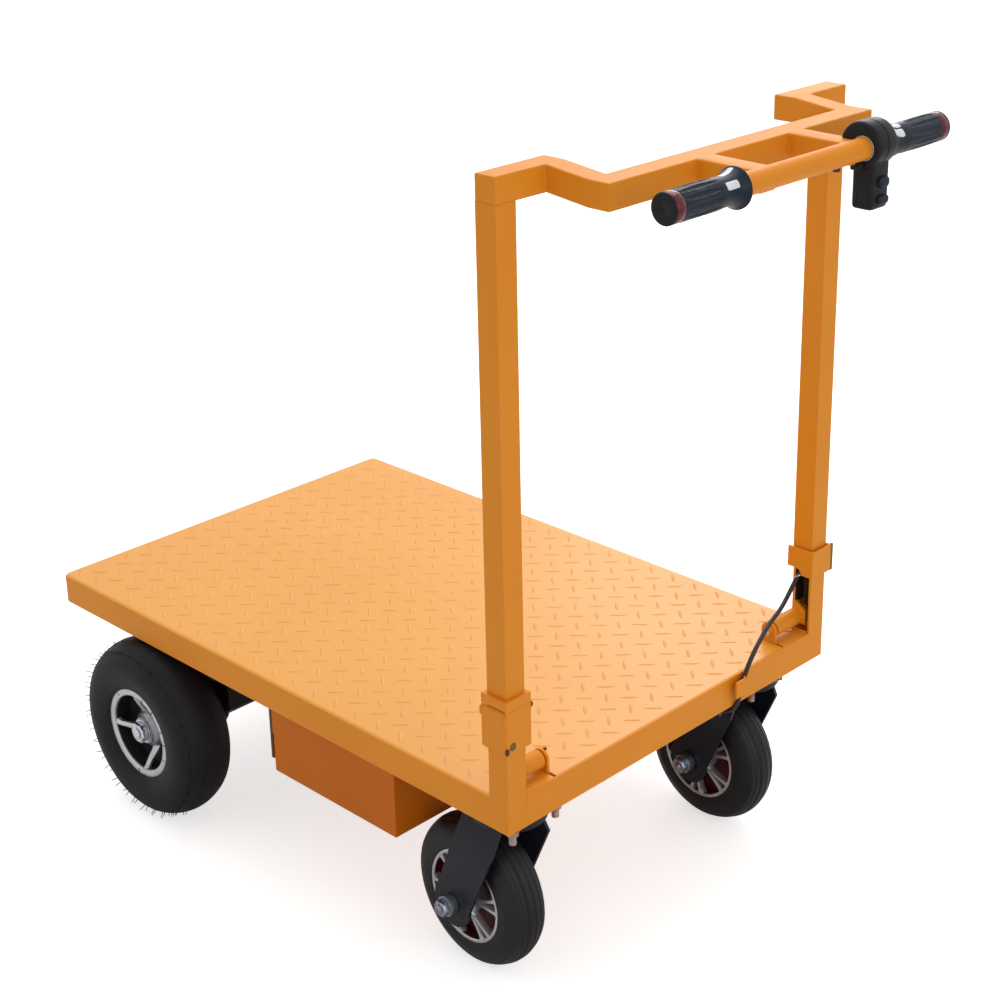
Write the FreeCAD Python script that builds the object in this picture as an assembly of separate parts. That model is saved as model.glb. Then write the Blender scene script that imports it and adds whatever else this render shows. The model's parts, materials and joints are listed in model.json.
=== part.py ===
import FreeCAD, Part
import math
import os
from FreeCAD import Vector

# Powered flatbed cart with a handle frame that folds down over its deck.
# Millimetres.  X runs along the deck, +X toward the handle; -Y is the operator's left;
# Z is up and the wheels stand on Z = 0.  The origin is under the middle of the whole cart.

# ---- deck and frame ----
deck_length = 900.0
deck_width = 600.0
deck_height = 307.0         # top of the deck plate above the floor
fascia_height = 42.0        # folded edge of the deck plate, seen from the side
sheet = 3.0                 # deck plate, stubs
deck_edge_radius = 5.0
deck_corner_radius = 10.0
rail_depth = 20.0           # side rails, under the plate
rail_width = 30.0
rear_rail_width = 50.0
rail_upstand = 3.5          # rear rail's wall beside the deck plate's end
rail_wall = 2.5
cross_width = 40.0
front_member_inset = 50.0

# ---- handle frame ----
tube = 30.0                 # square tube of the posts and the top bar
tube_wall = 2.0
handle_top = 1036.0
jog_from_middle = 212.0     # where the top bar turns back, from the cart's middle plane
offset_bar_reach = 88.0     # from the posts' middle to the offset bar's middle
offset_bar_drop = 6.4       # offset bar below the rest of the top bar
handlebar_reach = 99.0      # from the offset bar's middle to the handlebar's middle
link_width = 22.0
link_from_middle = 75.0
handlebar_diameter = 25.0
grip_diameter = 34.0
grip_end_left = 243.0       # from the cart's middle plane
grip_end_right = 233.0
grip_root_left = 125.0
grip_cap = 4.0
flange_diameter = 45.0
flange_length = 20.0
housing_diameter = 52.0
housing_length = 34.0
housing_back = 4.0          # housing's middle from the handlebar's, toward the deck
housing_rise = 3.0          # and above it
housing_end = 122.0         # where the right grip starts
switch_box_width = 27.0
switch_box_length = 32.0
switch_box_drop = 68.0      # below the handlebar's middle
switch_box_radius = 4.0

# ---- fold joint ----
pivot_height = 16.5         # pivot above the deck
pivot_back = 11.0           # pivot in front of the posts' middle
pin_diameter = 12.0
pin_clearance = 0.05
boss_diameter = 23.0
boss_inner_end = 223.0      # from the cart's middle plane
lug_thickness = 4.0
lug_gap = 3.0
lug_slot_gap = 0.3          # deck plate around the lug
pin_end = 3.0               # pin beyond its lug
collar_gap = 2.5            # around the leg's and the stub's tube
collar_wall = 2.5
collar_top = 121.0          # above the deck
collar_seat = 7.0
collar_length_left = 54.0
collar_length_right = 38.0
collar_plate = 2.0
leg_end = 105.0             # lower end of the leg's tube above the deck
stub_top = 96.0             # upper end of the stub above the deck
strap_width = 20.0
leg_side_gap = 5.0          # boss and strap to the stub's outer wall
gusset_inset = 2.0          # gusset behind the post's inner side
strap_thickness = 4.0
strap_overlap = 12.0        # strap inside the leg's tube
gusset_thickness = 4.0
gusset_short = 9.0          # gusset's rear edge in front of the post's
gusset_low = 13.0           # gusset's heights above the pivot
gusset_high = 27.0
gusset_heel = 7.0           # and below it
ring_height = 12.0
ring_gap = 1.5
notch_length = 22.0
notch_height = 9.0

# ---- drive wheels and axle ----
drive_diameter = 260.0
drive_width = 87.0
drive_from_front = 192.0    # axle behind the deck's front edge
drive_from_middle = 288.0
drive_bead_diameter = 104.0
drive_flange_diameter = 131.0
drive_flange_from_middle = 36.0
drive_hub_diameter = 44.0
drive_hub_from_middle = 18.0
drive_shaft_diameter = 20.0
shaft_shoulder_diameter = 32.0
drive_nut_diameter = 30.0
axle_tube_diameter = 56.0
gearbox_diameter = 110.0
gearbox_width = 85.0
motor_diameter = 84.0
motor_length = 145.0
cradle_half_length = 103.0
cradle_half_width = 238.0
cradle_bottom = 170.0
cradle_plate = 6.0
hanger_from_middle = 194.0
hanger_thickness = 8.0
hanger_rim = 8.0            # hanger below the axle tube
hanger_waist = 68.0         # hanger's length where it meets the ring round the axle
hanger_waist_drop = 8.0     # and how far that is below the axle
axle_tube_end = 22.0        # axle tube outside the hangers
motor_forward = 45.0        # motor's middle from the axle
motor_rise = 72.0
shaft_end = 18.0            # shaft outside the wheel's hub
nut_length = 12.0
hub_gap = 0.3
tyre_crown = 9.0            # tread's middle above its shoulders
tyre_shoulder = 0.66        # shoulders from the middle, as a share of the half width
tyre_widest = 0.52          # widest place, as a share of the way from flange to tread
rim_sheet = 2.0
rim_barrel_wall = 4.0
rim_web = 10.0

# ---- castors ----
castor_diameter = 200.0
castor_width = 60.0
castor_rim_diameter = 123.0
castor_from_rear = 71.0     # swivel in front of the deck's rear edge
castor_from_middle = 226.5
castor_trail = 55.5
castor_turn = -3.0          # how the parked castors are turned, degrees
castor_plate_length = 110.0
castor_plate_width = 92.0
castor_plate_thickness = 5.0
castor_race_diameter = 70.0
castor_race_height = 14.0
castor_king_pin_diameter = 16.0
crown_diameter = 92.0
crown_height = 12.0
fork_plate = 4.0
fork_gap = 15.0             # wheel to fork, each side
fork_eye_diameter = 64.0
fork_top_width = 60.0       # across the flat top, between the sloped shoulders
fork_shoulder_rise = 94.0   # shoulders' lower edge above the axle
fork_top_front = 10.0       # leg's edges behind the axle, at the top and at the shoulder
fork_top_back = 75.0
fork_front = 4.0
fork_back = 74.0
castor_axle_diameter = 12.0
castor_spacer_diameter = 26.0
castor_spacer_length = 8.0
castor_bolt_head = 22.0
castor_head_length = 14.0
castor_hub_diameter = 34.0
castor_rim_wall = 5.0
castor_rim_inset = 1.0      # rim's edge inside the tyre's side
castor_hub_gap = 0.4
castor_side_height = 8.5    # flat part of the tyre's side
castor_crown = 7.0          # tread's middle above its shoulders
castor_shoulder = 20.0      # shoulders from the wheel's middle
king_pin_head = 26.0
king_pin_head_height = 7.0
swivel_gap = 0.5

# ---- battery ----
box_length = 231.0
box_from_rear = 199.0
box_bottom = 176.0
box_sheet = 2.0
box_inset = 3.0
box_lip_thickness = 5.0
box_lip_height = 56.0
battery_length = 180.0
battery_width = 300.0
battery_height = 95.0

# ---- control cable ----
cable_diameter = 6.0
tab_width = 26.0
tab_height = 24.0
tab_gap = 13.0
tab_rise = 8.0              # above the rear rail's lower face
tab_sheet = 2.5
gland_size = 14.0
gland_seat = 7.0
gland_seat_place = 0.6      # seat's place along the gland
cable_corner_share = 0.45   # of the shorter run, taken by each corner's arc

# ---- worked out from the above ----
bar_reach = max(flange_diameter / 2, housing_diameter / 2 - housing_back)
handle_reach = offset_bar_reach + handlebar_reach + bar_reach - tube / 2
overall_length = deck_length + handle_reach
front_x = -overall_length / 2
rear_x = front_x + deck_length
half_width = deck_width / 2
deck_top = deck_height
plate_bottom = deck_top - sheet
frame_bottom = deck_top - fascia_height
rail_bottom = plate_bottom - rail_depth
inner_width = half_width - sheet
post_x = rear_x - tube / 2
post_y = half_width - tube / 2
rear_reach = half_width - tube
collar_outer = tube + 2 * (collar_gap + collar_wall)
bar_z = handle_top - tube / 2
offset_bar_z = bar_z - offset_bar_drop
offset_bar_x = post_x + offset_bar_reach
handlebar_x = offset_bar_x + handlebar_reach
pivot_x = post_x - pivot_back
pivot_z = deck_top + pivot_height
lug_outer = boss_inner_end - lug_gap
lug_inner = lug_outer - lug_thickness
axle_x = front_x + drive_from_front
axle_z = drive_diameter / 2
swivel_x = rear_x - castor_from_rear
castor_plate_bottom = frame_bottom - castor_plate_thickness
race_bottom = castor_plate_bottom - castor_race_height
crown_top = race_bottom - swivel_gap
crown_bottom = crown_top - crown_height
castor_axle_z = castor_diameter / 2
fork_outer = castor_width / 2 + fork_gap + fork_plate
box_rear_x = rear_x - box_from_rear
box_front_x = box_rear_x - box_length
sides = (("left", -1), ("right", 1))


def block(x0, x1, y0, y1, z0, z1):
    low = Vector(min(x0, x1), min(y0, y1), min(z0, z1))
    return Part.makeBox(abs(x1 - x0), abs(y1 - y0), abs(z1 - z0), low)


def rod(diameter, start, end):
    a = Vector(*start)
    b = Vector(*end)
    return Part.makeCylinder(diameter / 2, (b - a).Length, a, b - a)


def prism_y(outline, y0, y1):
    """A plate cut to an outline of (x, z) points, between two planes of constant y."""
    corners = [Vector(x, min(y0, y1), z) for x, z in outline]
    face = Part.Face(Part.makePolygon(corners + corners[:1]))
    return face.extrude(Vector(0, abs(y1 - y0), 0))


def joined(shapes):
    """One solid from shapes that touch or overlap."""
    whole = shapes[0]
    for shape in shapes[1:]:
        whole = whole.fuse(shape)
    return whole.removeSplitter()


def box_tube(x0, x1, y0, y1, z0, z1, wall, axis):
    """A rectangular tube, open at both ends, along the named axis."""
    outer = block(x0, x1, y0, y1, z0, z1)
    box = outer.BoundBox
    grow = {a: 1.0 if a == axis else -wall for a in "xyz"}
    hollow = block(box.XMin - grow["x"], box.XMax + grow["x"], box.YMin - grow["y"],
                   box.YMax + grow["y"], box.ZMin - grow["z"], box.ZMax + grow["z"])
    return outer.cut(hollow)


def runs_along(edge, axis):
    box = edge.BoundBox
    size = {"x": box.XLength, "y": box.YLength, "z": box.ZLength}
    return all(size[a] < 0.01 for a in size if a != axis) and size[axis] > 0.01


def lies_at_top(edge):
    return edge.BoundBox.ZMin > deck_top - 0.01


def outline(points, arcs):
    """Edges through (radius, y) points; arcs maps a point's number to the arc's middle."""
    corners = [Vector(r, y, 0) for r, y in points]
    edges = []
    for i, start in enumerate(corners):
        end = corners[(i + 1) % len(corners)]
        if i in arcs:
            middle = Vector(arcs[i][0], arcs[i][1], 0)
            edges.append(Part.Arc(start, middle, end).toShape())
        else:
            edges.append(Part.LineSegment(start, end).toShape())
    return edges


def lathe(edges):
    """A solid turned about the Y axis from edges drawn as (radius, y)."""
    return Part.Face(Part.Wire(edges)).revolve(Vector(0, 0, 0), Vector(0, 1, 0), 360)


def ring(outer, inner, y0, y1):
    """A turned ring about the Y axis."""
    low = min(y0, y1)
    high = max(y0, y1)
    return rod(outer, (0, low, 0), (0, high, 0)).cut(rod(inner, (0, low - 1, 0), (0, high + 1, 0)))


# ---- chassis ----

def deck_plate():
    outer = block(front_x, rear_x, -half_width, half_width, frame_bottom, deck_top)
    corners = [e for e in outer.Edges if runs_along(e, "z") and e.BoundBox.XMax < 0]
    outer = outer.makeFillet(deck_corner_radius, corners)
    rims = [e for e in outer.Edges if lies_at_top(e) and e.BoundBox.XMin < rear_x - 1]
    outer = outer.makeFillet(deck_edge_radius, rims)
    inner = block(front_x + sheet, rear_x + 1, -inner_width, inner_width,
                  frame_bottom - 1, plate_bottom)
    corners = [e for e in inner.Edges if runs_along(e, "z") and e.BoundBox.XMax < 0]
    plate = outer.cut(inner.makeFillet(deck_corner_radius - sheet, corners))
    end = rear_x - rail_upstand
    plate = plate.cut(block(end, rear_x + 1, -rear_reach, rear_reach, frame_bottom - 1, deck_top + 1))
    lug_front = pivot_x - boss_diameter / 2 - lug_slot_gap
    for name, side in sides:
        notch = block(rear_x - tube, rear_x + 1, side * rear_reach,
                      side * (half_width + 1), frame_bottom - 1, deck_top + 1)
        slot = block(lug_front, end + 1, side * (lug_inner - lug_slot_gap),
                     side * (lug_outer + lug_slot_gap), plate_bottom - 1, deck_top + 1)
        plate = plate.cut(notch).cut(slot)
    return plate


def side_rail(side):
    return box_tube(front_x + sheet + deck_corner_radius, rear_x - rear_rail_width,
                    side * inner_width, side * (inner_width - rail_width),
                    rail_bottom, plate_bottom, rail_wall, "x")


def cross_members():
    """Four flat tubes under the side rails: at the front, over the axle cradle, at the castors."""
    half = cross_width / 2
    places = (front_x + front_member_inset, axle_x - cradle_half_length + half,
              axle_x + cradle_half_length - half, swivel_x - castor_plate_length / 2 + half)
    return Part.Compound([box_tube(x - half, x + half, -inner_width, inner_width,
                                   frame_bottom, rail_bottom, rail_wall, "y") for x in places])


def rear_rail():
    """A tube between the posts, with a low wall that closes the deck plate's end."""
    rail = box_tube(rear_x - rear_rail_width, rear_x, -rear_reach, rear_reach,
                    frame_bottom, plate_bottom, rail_wall, "y")
    upstand = block(rear_x - rail_upstand, rear_x, -rear_reach, rear_reach, plate_bottom, deck_top)
    return joined([rail, upstand])


def post_stub(side):
    base = box_tube(rear_x - tube, rear_x, side * rear_reach, side * half_width,
                    frame_bottom, deck_top, sheet, "z")
    top = deck_top + stub_top
    outer_wall = block(rear_x - tube, rear_x, side * inner_width, side * half_width, deck_top, top)
    rear_wall = block(rear_x - sheet, rear_x, side * rear_reach, side * inner_width,
                      deck_top, top)
    return joined([base, outer_wall, rear_wall])


def collar(side, length):
    """A socket around the leg and the stub's top, open toward the deck."""
    top = deck_top + collar_top
    bottom = top - length
    reach = collar_outer / 2
    y = side * post_y
    shell = block(post_x - reach, post_x + reach, y - reach, y + reach, bottom, top)
    room = reach - collar_wall
    shell = shell.cut(block(post_x - reach - 1, post_x + room, y - room, y + room,
                            bottom - 1, top + 1))
    seat_back = block(rear_x, post_x + room, y - room, y + room, bottom, bottom + collar_seat)
    seat_side = block(post_x - reach, post_x + room, side * half_width, side * (post_y + room),
                      bottom, bottom + collar_seat)
    cover = block(post_x - reach + collar_plate, post_x + reach - collar_plate,
                  side * (post_y + reach), side * (post_y + reach + collar_plate),
                  bottom + collar_plate, top - collar_plate)
    return joined([shell, seat_back, seat_side, cover])


def notched(socket, side):
    """The socket with the cable's rounded notch in its inner wall."""
    bottom = socket.BoundBox.ZMin
    x = post_x - collar_outer / 2
    y0 = side * (post_y - collar_outer / 2 - 1)
    y1 = side * (post_y - collar_outer / 2 + collar_wall + 1)
    reach = notch_length - notch_height
    slot = block(x - 1, x + reach, y0, y1, bottom - 1, bottom + notch_height)
    end = rod(2 * notch_height, (x + reach, y0, bottom), (x + reach, y1, bottom))
    return socket.cut(slot).cut(end)


def hinge_pin(side):
    """The fold's pin, from the stub's outer wall to a lug that stands on the rear rail."""
    pin = rod(pin_diameter, (pivot_x, side * inner_width, pivot_z),
              (pivot_x, side * (lug_inner - pin_end), pivot_z))
    half = boss_diameter / 2
    foot = block(pivot_x - half, pivot_x + half, side * lug_inner, side * lug_outer,
                 plate_bottom, pivot_z)
    eye = rod(boss_diameter, (pivot_x, side * lug_inner, pivot_z),
              (pivot_x, side * lug_outer, pivot_z))
    return joined([pin, foot, eye])


def battery_box():
    y = half_width - box_inset
    outer = block(box_front_x, box_rear_x, -y, y, box_bottom, rail_bottom)
    inner = block(box_front_x + box_sheet, box_rear_x - box_sheet, box_sheet - y,
                  y - box_sheet, box_bottom + box_sheet, rail_bottom + 1)
    lip = block(box_front_x - box_lip_thickness, box_front_x, -y, y,
                rail_bottom - box_lip_height, rail_bottom)
    return joined([outer.cut(inner), lip])


def battery():
    middle = (box_front_x + box_rear_x) / 2
    floor = box_bottom + box_sheet
    return block(middle - battery_length / 2, middle + battery_length / 2,
                 -battery_width / 2, battery_width / 2, floor, floor + battery_height)


# ---- drive axle ----

def axle_cradle():
    """Two cross plates and two hangers under the cross members, which carry the axle."""
    pieces = []
    for end in (-1, 1):
        x = axle_x + end * cradle_half_length
        pieces.append(block(x, x - end * cradle_plate, -cradle_half_width, cradle_half_width,
                            cradle_bottom, frame_bottom))
    reach = cradle_half_length - cradle_plate
    waist = axle_z - hanger_waist_drop
    eye = axle_tube_diameter + 2 * hanger_rim
    for name, side in sides:
        y0 = side * (hanger_from_middle - hanger_thickness / 2)
        y1 = side * (hanger_from_middle + hanger_thickness / 2)
        profile = [(axle_x - reach, frame_bottom), (axle_x + reach, frame_bottom),
                   (axle_x + reach, cradle_bottom), (axle_x + hanger_waist / 2, waist),
                   (axle_x - hanger_waist / 2, waist), (axle_x - reach, cradle_bottom)]
        hanger = prism_y(profile, y0, y1).fuse(rod(eye, (axle_x, y0, axle_z), (axle_x, y1, axle_z)))
        hole = rod(axle_tube_diameter, (axle_x, side * (hanger_from_middle - hanger_thickness), axle_z),
                   (axle_x, side * (hanger_from_middle + hanger_thickness), axle_z))
        pieces.append(hanger.cut(hole))
    return joined(pieces)


def motor_place():
    return axle_x + motor_forward, axle_z + motor_rise


def drive_axle():
    reach = hanger_from_middle + axle_tube_end
    tube_part = rod(axle_tube_diameter, (axle_x, -reach, axle_z), (axle_x, reach, axle_z))
    half = gearbox_width / 2
    case = rod(gearbox_diameter, (axle_x, -half, axle_z), (axle_x, half, axle_z))
    motor_x, motor_z = motor_place()
    top = rod(motor_diameter, (motor_x, -half, motor_z), (motor_x, half, motor_z))
    return joined([tube_part, case, top])


def axle_shaft(side):
    """The stub that a drive wheel turns on, with the nut that holds the wheel."""
    start = side * (hanger_from_middle + axle_tube_end)
    hub_end = side * (drive_from_middle + drive_hub_from_middle + hub_gap)
    tip = hub_end + side * shaft_end
    shaft = rod(drive_shaft_diameter, (axle_x, start, axle_z), (axle_x, tip, axle_z))
    shoulder_end = side * (drive_from_middle - drive_hub_from_middle - hub_gap)
    shoulder = rod(shaft_shoulder_diameter, (axle_x, start, axle_z),
                   (axle_x, shoulder_end, axle_z))
    nut = rod(drive_nut_diameter, (axle_x, hub_end, axle_z),
              (axle_x, hub_end + side * nut_length, axle_z))
    return joined([shaft, shoulder, nut])


def drive_motor():
    motor_x, motor_z = motor_place()
    start = gearbox_width / 2
    return rod(motor_diameter, (motor_x, start, motor_z), (motor_x, start + motor_length, motor_z))


def drive_tyre(side):
    bead = drive_bead_diameter / 2
    lip = drive_flange_diameter / 2
    tread = drive_diameter / 2
    seat = drive_flange_from_middle - rim_sheet
    half = drive_width / 2
    shoulder = half * tyre_shoulder
    edge = tread - tyre_crown
    widest = lip + (tread - lip) * tyre_widest
    points = [(bead, -seat), (bead, seat), (lip, seat), (edge, shoulder),
              (edge, -shoulder), (lip, -seat)]
    arcs = {2: (widest, half), 3: (tread, 0), 4: (widest, -half)}
    tyre = lathe(outline(points, arcs))
    return placed(tyre, axle_x, side * drive_from_middle, axle_z)


def drive_rim(side):
    bead = drive_bead_diameter - 2 * pin_clearance
    end = drive_flange_from_middle
    inner = bead - 2 * rim_barrel_wall
    barrel = ring(bead, inner, -end, end)
    flanges = [ring(drive_flange_diameter, inner, end, end - rim_sheet),
               ring(drive_flange_diameter, inner, -end, rim_sheet - end)]
    web = rod(bead - rim_sheet, (0, -rim_web / 2, 0), (0, rim_web / 2, 0))
    reach = drive_hub_from_middle
    hub = rod(drive_hub_diameter, (0, -reach, 0), (0, reach, 0))
    bore = rod(drive_shaft_diameter + 2 * pin_clearance, (0, -reach - 1, 0), (0, reach + 1, 0))
    rim = joined([barrel, web, hub] + flanges).cut(bore)
    return placed(rim, axle_x, side * drive_from_middle, axle_z)


def placed(shape, x, y, z):
    shape.translate(Vector(x, y, z))
    return shape


# ---- castors, drawn about the swivel's line and then turned and placed ----

def castor_placed(shape, side):
    shape.rotate(Vector(0, 0, 0), Vector(0, 0, 1), castor_turn)
    shape.translate(Vector(swivel_x, side * castor_from_middle, 0))
    return shape


def castor_plate(side):
    x = swivel_x
    y = side * castor_from_middle
    plate = block(x - castor_plate_length / 2, x + castor_plate_length / 2,
                  y - castor_plate_width / 2, y + castor_plate_width / 2,
                  castor_plate_bottom, frame_bottom)
    race = rod(castor_race_diameter, (x, y, race_bottom), (x, y, castor_plate_bottom))
    king_pin = rod(castor_king_pin_diameter, (x, y, crown_bottom - 1), (x, y, race_bottom))
    head = rod(king_pin_head, (x, y, crown_bottom - king_pin_head_height),
               (x, y, crown_bottom - swivel_gap))
    return joined([plate, race, king_pin, head])


def fork_section(low):
    """The bent sheet seen from behind, as (y, z): flat top, sloped shoulders, upright legs."""
    top = crown_bottom + fork_plate
    shoulder = castor_axle_z + fork_shoulder_rise
    half = fork_top_width / 2
    slope = math.atan2(top - shoulder, fork_outer - half)
    inner_half = half - fork_plate * math.tan(slope / 2)
    inner_shoulder = shoulder - fork_plate * math.tan((math.pi / 2 - slope) / 2)
    outside = [(fork_outer, low), (fork_outer, shoulder), (half, top)]
    inside = [(inner_half, crown_bottom), (fork_outer - fork_plate, inner_shoulder),
              (fork_outer - fork_plate, low)]
    mirrored = [(-y, z) for y, z in reversed(outside)]
    mirrored_inside = [(-y, z) for y, z in reversed(inside)]
    return outside + mirrored + mirrored_inside + inside


def castor_fork(side):
    """A crown disc on a bent sheet that straddles the wheel and ends in two round eyes."""
    low = castor_axle_z
    eye = fork_eye_diameter / 2
    axle_place = -castor_trail
    top = crown_bottom + fork_plate
    shoulder = low + fork_shoulder_rise
    corners = [Vector(axle_place - eye, y, z) for y, z in fork_section(low - eye)]
    sheet_face = Part.Face(Part.makePolygon(corners + corners[:1]))
    bent = sheet_face.extrude(Vector(fork_top_back + eye, 0, 0))
    profile = [(axle_place + x, z) for x, z in
               [(-eye, low), (fork_front, shoulder), (fork_top_front, top), (fork_top_back, top),
                (fork_back, shoulder), (eye, low)]]
    side_view = joined([prism_y(profile, -fork_outer, fork_outer),
                        rod(fork_eye_diameter, (axle_place, -fork_outer, low),
                            (axle_place, fork_outer, low))])
    crown = rod(crown_diameter, (0, 0, crown_bottom), (0, 0, crown_top))
    fork = joined([bent.common(side_view), crown])
    pin_hole = rod(castor_king_pin_diameter + 2 * pin_clearance,
                   (0, 0, crown_bottom - fork_plate), (0, 0, crown_top + 1))
    axle_hole = rod(castor_axle_diameter, (axle_place, -fork_outer - 1, low),
                    (axle_place, fork_outer + 1, low))
    return castor_placed(fork.cut(pin_hole).cut(axle_hole), side)


def castor_axle(side):
    """The wheel bolt, with a spacer and a head or nut outside each leg of the fork."""
    low = castor_axle_z
    x = -castor_trail
    spacer_end = fork_outer + castor_spacer_length
    head_end = spacer_end + castor_head_length
    pieces = [rod(castor_axle_diameter, (x, -fork_outer, low), (x, fork_outer, low))]
    for end in (-1, 1):
        pieces.append(rod(castor_spacer_diameter, (x, end * fork_outer, low),
                          (x, end * spacer_end, low)))
        pieces.append(rod(castor_bolt_head, (x, end * spacer_end, low), (x, end * head_end, low)))
    return castor_placed(joined(pieces), side)


def castor_tyre(side):
    """A round-shouldered tyre: each side's arc leaves the flat of the side smoothly."""
    inner = castor_rim_diameter / 2
    tread = castor_diameter / 2
    half = castor_width / 2
    edge = half - castor_rim_inset
    flat = inner + castor_side_height
    crown = tread - castor_crown
    rise = crown - flat
    fall = half - castor_shoulder
    radius = (rise ** 2 + fall ** 2) / (2 * fall)
    half_turn = math.atan2(rise, radius - fall) / 2
    bulge = flat + radius * math.sin(half_turn)
    bulge_place = half - radius * (1 - math.cos(half_turn))
    points = [(inner, -edge), (inner, edge), (flat, half), (crown, castor_shoulder),
              (crown, -castor_shoulder), (flat, -half)]
    arcs = {2: (bulge, bulge_place), 3: (tread, 0), 4: (bulge, -bulge_place)}
    return castor_placed(placed(lathe(outline(points, arcs)), -castor_trail, 0, castor_axle_z), side)


def castor_rim(side):
    outer = castor_rim_diameter
    half = castor_width / 2
    edge = half - castor_rim_inset
    barrel = ring(outer - 2 * pin_clearance, outer - 2 * castor_rim_wall, -edge, edge)
    web = rod(outer - castor_rim_wall, (0, -rim_web / 2, 0), (0, rim_web / 2, 0))
    hub_end = half + fork_gap - castor_hub_gap
    hub = rod(castor_hub_diameter, (0, -hub_end, 0), (0, hub_end, 0))
    bore = rod(castor_axle_diameter + 2 * pin_clearance, (0, -hub_end - 1, 0), (0, hub_end + 1, 0))
    rim = joined([barrel, web, hub]).cut(bore)
    return castor_placed(placed(rim, -castor_trail, 0, castor_axle_z), side)


# ---- handle ----

def handle_leg(side):
    """A leg's tube with the strap, gusset and boss that carry it at the fold."""
    y = side * post_y
    half = tube / 2
    post = box_tube(post_x - half, post_x + half, y - half, y + half,
                    deck_top + leg_end, handle_top - tube, tube_wall, "z")
    outer_end = side * (inner_width - leg_side_gap)
    strap = block(post_x - half, post_x - half + strap_thickness,
                  outer_end - side * strap_width, outer_end, pivot_z,
                  deck_top + leg_end + strap_overlap)
    heel = pivot_z - gusset_heel
    gusset_back = post_x + half - gusset_short
    profile = [(post_x - half, heel), (gusset_back, heel),
               (gusset_back, pivot_z + gusset_low), (post_x - half, pivot_z + gusset_high)]
    gusset_y = side * (rear_reach + gusset_inset)
    gusset = prism_y(profile, gusset_y, gusset_y + side * gusset_thickness)
    boss = rod(boss_diameter, (pivot_x, side * boss_inner_end, pivot_z),
               (pivot_x, outer_end, pivot_z))
    bore = rod(pin_diameter + 2 * pin_clearance, (pivot_x, side * (boss_inner_end - 1), pivot_z),
               (pivot_x, side * half_width, pivot_z))
    return joined([post, strap, gusset, boss]).cut(bore)


def leg_ring():
    """A band around the left leg, just above its socket."""
    reach = collar_outer / 2
    half = tube / 2
    bottom = deck_top + collar_top + ring_gap
    y = -post_y
    outer = block(post_x - reach, post_x + reach, y - reach, y + reach, bottom, bottom + ring_height)
    inner = block(post_x - half, post_x + half, y - half, y + half, bottom - 1,
                  bottom + ring_height + 1)
    return outer.cut(inner)


def bar_solid(half):
    """The top bar's shape at a given half thickness, for its outside and for its hollow."""
    turn = jog_from_middle
    pieces = [block(offset_bar_x - half, offset_bar_x + half, -turn - half, turn + half,
                    offset_bar_z - half, offset_bar_z + half)]
    step = [(post_x + half, bar_z - half), (post_x + half, bar_z + half),
            (offset_bar_x - half, offset_bar_z + half), (offset_bar_x - half, offset_bar_z - half)]
    for name, side in sides:
        pieces.append(block(post_x - half, post_x + half, side * (turn - half),
                            side * (post_y + half), bar_z - half, bar_z + half))
        pieces.append(prism_y(step, side * turn - half, side * turn + half))
    return joined(pieces)


def top_bar():
    """The bar across the legs, stepped back and down to the offset bar between its two turns."""
    return bar_solid(tube / 2).cut(bar_solid(tube / 2 - tube_wall))


def handle_links():
    """Two short arms that rise from the offset bar to the handlebar."""
    half = link_width / 2
    start = offset_bar_x + tube / 2
    profile = [(start, offset_bar_z - half), (start, offset_bar_z + half),
               (handlebar_x, bar_z + half), (handlebar_x, bar_z - half)]
    saddle = rod(handlebar_diameter + 2 * pin_clearance, (handlebar_x, -half_width, bar_z),
                 (handlebar_x, half_width, bar_z))
    arms = [prism_y(profile, side * link_from_middle - half, side * link_from_middle + half)
            for name, side in sides]
    return Part.Compound([arm.cut(saddle) for arm in arms])


def handlebar():
    left = grip_cap - grip_end_left
    right = grip_end_right - grip_cap
    bar = rod(handlebar_diameter, (handlebar_x, left, bar_z), (handlebar_x, right, bar_z))
    return bar.cut(rod(handlebar_diameter - 2 * tube_wall, (handlebar_x, left - 1, bar_z),
                       (handlebar_x, right + 1, bar_z)))


def bar_sleeve(diameter, y0, y1):
    return rod(diameter, (handlebar_x, y0, bar_z), (handlebar_x, y1, bar_z)).cut(
        rod(handlebar_diameter, (handlebar_x, y0, bar_z), (handlebar_x, y1, bar_z)))


def grip(root, end):
    """A rubber grip with a closed end, from its root outward."""
    seat = end - math.copysign(grip_cap, end)
    return joined([bar_sleeve(grip_diameter, root, seat),
                   rod(grip_diameter, (handlebar_x, seat, bar_z), (handlebar_x, end, bar_z))])


def flanged_grip():
    """The left grip, with a flange at its inner end."""
    root = -grip_root_left
    return joined([grip(root, -grip_end_left),
                   bar_sleeve(flange_diameter, root, root - flange_length)])


def housing_core():
    start = housing_end - housing_length
    x = handlebar_x - housing_back
    z = bar_z + housing_rise
    return rod(housing_diameter, (x, start, z), (x, housing_end, z))


def throttle_housing():
    """The round throttle housing, set a little behind and above the bar that it clamps."""
    return housing_core().cut(rod(handlebar_diameter, (handlebar_x, 0, bar_z),
                                  (handlebar_x, half_width, bar_z)))


def switch_box():
    """The box of switches that hangs under the throttle housing."""
    half = switch_box_width / 2
    middle = housing_end - housing_length / 2
    reach = switch_box_length / 2
    box = block(handlebar_x - half, handlebar_x + half, middle - reach, middle + reach,
                bar_z - switch_box_drop, bar_z)
    box = box.makeFillet(switch_box_radius, [e for e in box.Edges if runs_along(e, "z")])
    bar = rod(handlebar_diameter, (handlebar_x, 0, bar_z), (handlebar_x, half_width, bar_z))
    return box.cut(housing_core()).cut(bar)


# ---- control cable ----

cable_points = [(-13, -21, 95), (-17, -30, 86), (-21, -38, 71), (-23, -47, 56),
                (-18, -71, 44), (-8, -108, 41), (2, -144, 29), (7, -166, 14),
                (8, -176, -4), (8, -181, -23), (6, -187, -40), (-2, -193, -50), (-14, -197, -52)]


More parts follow.
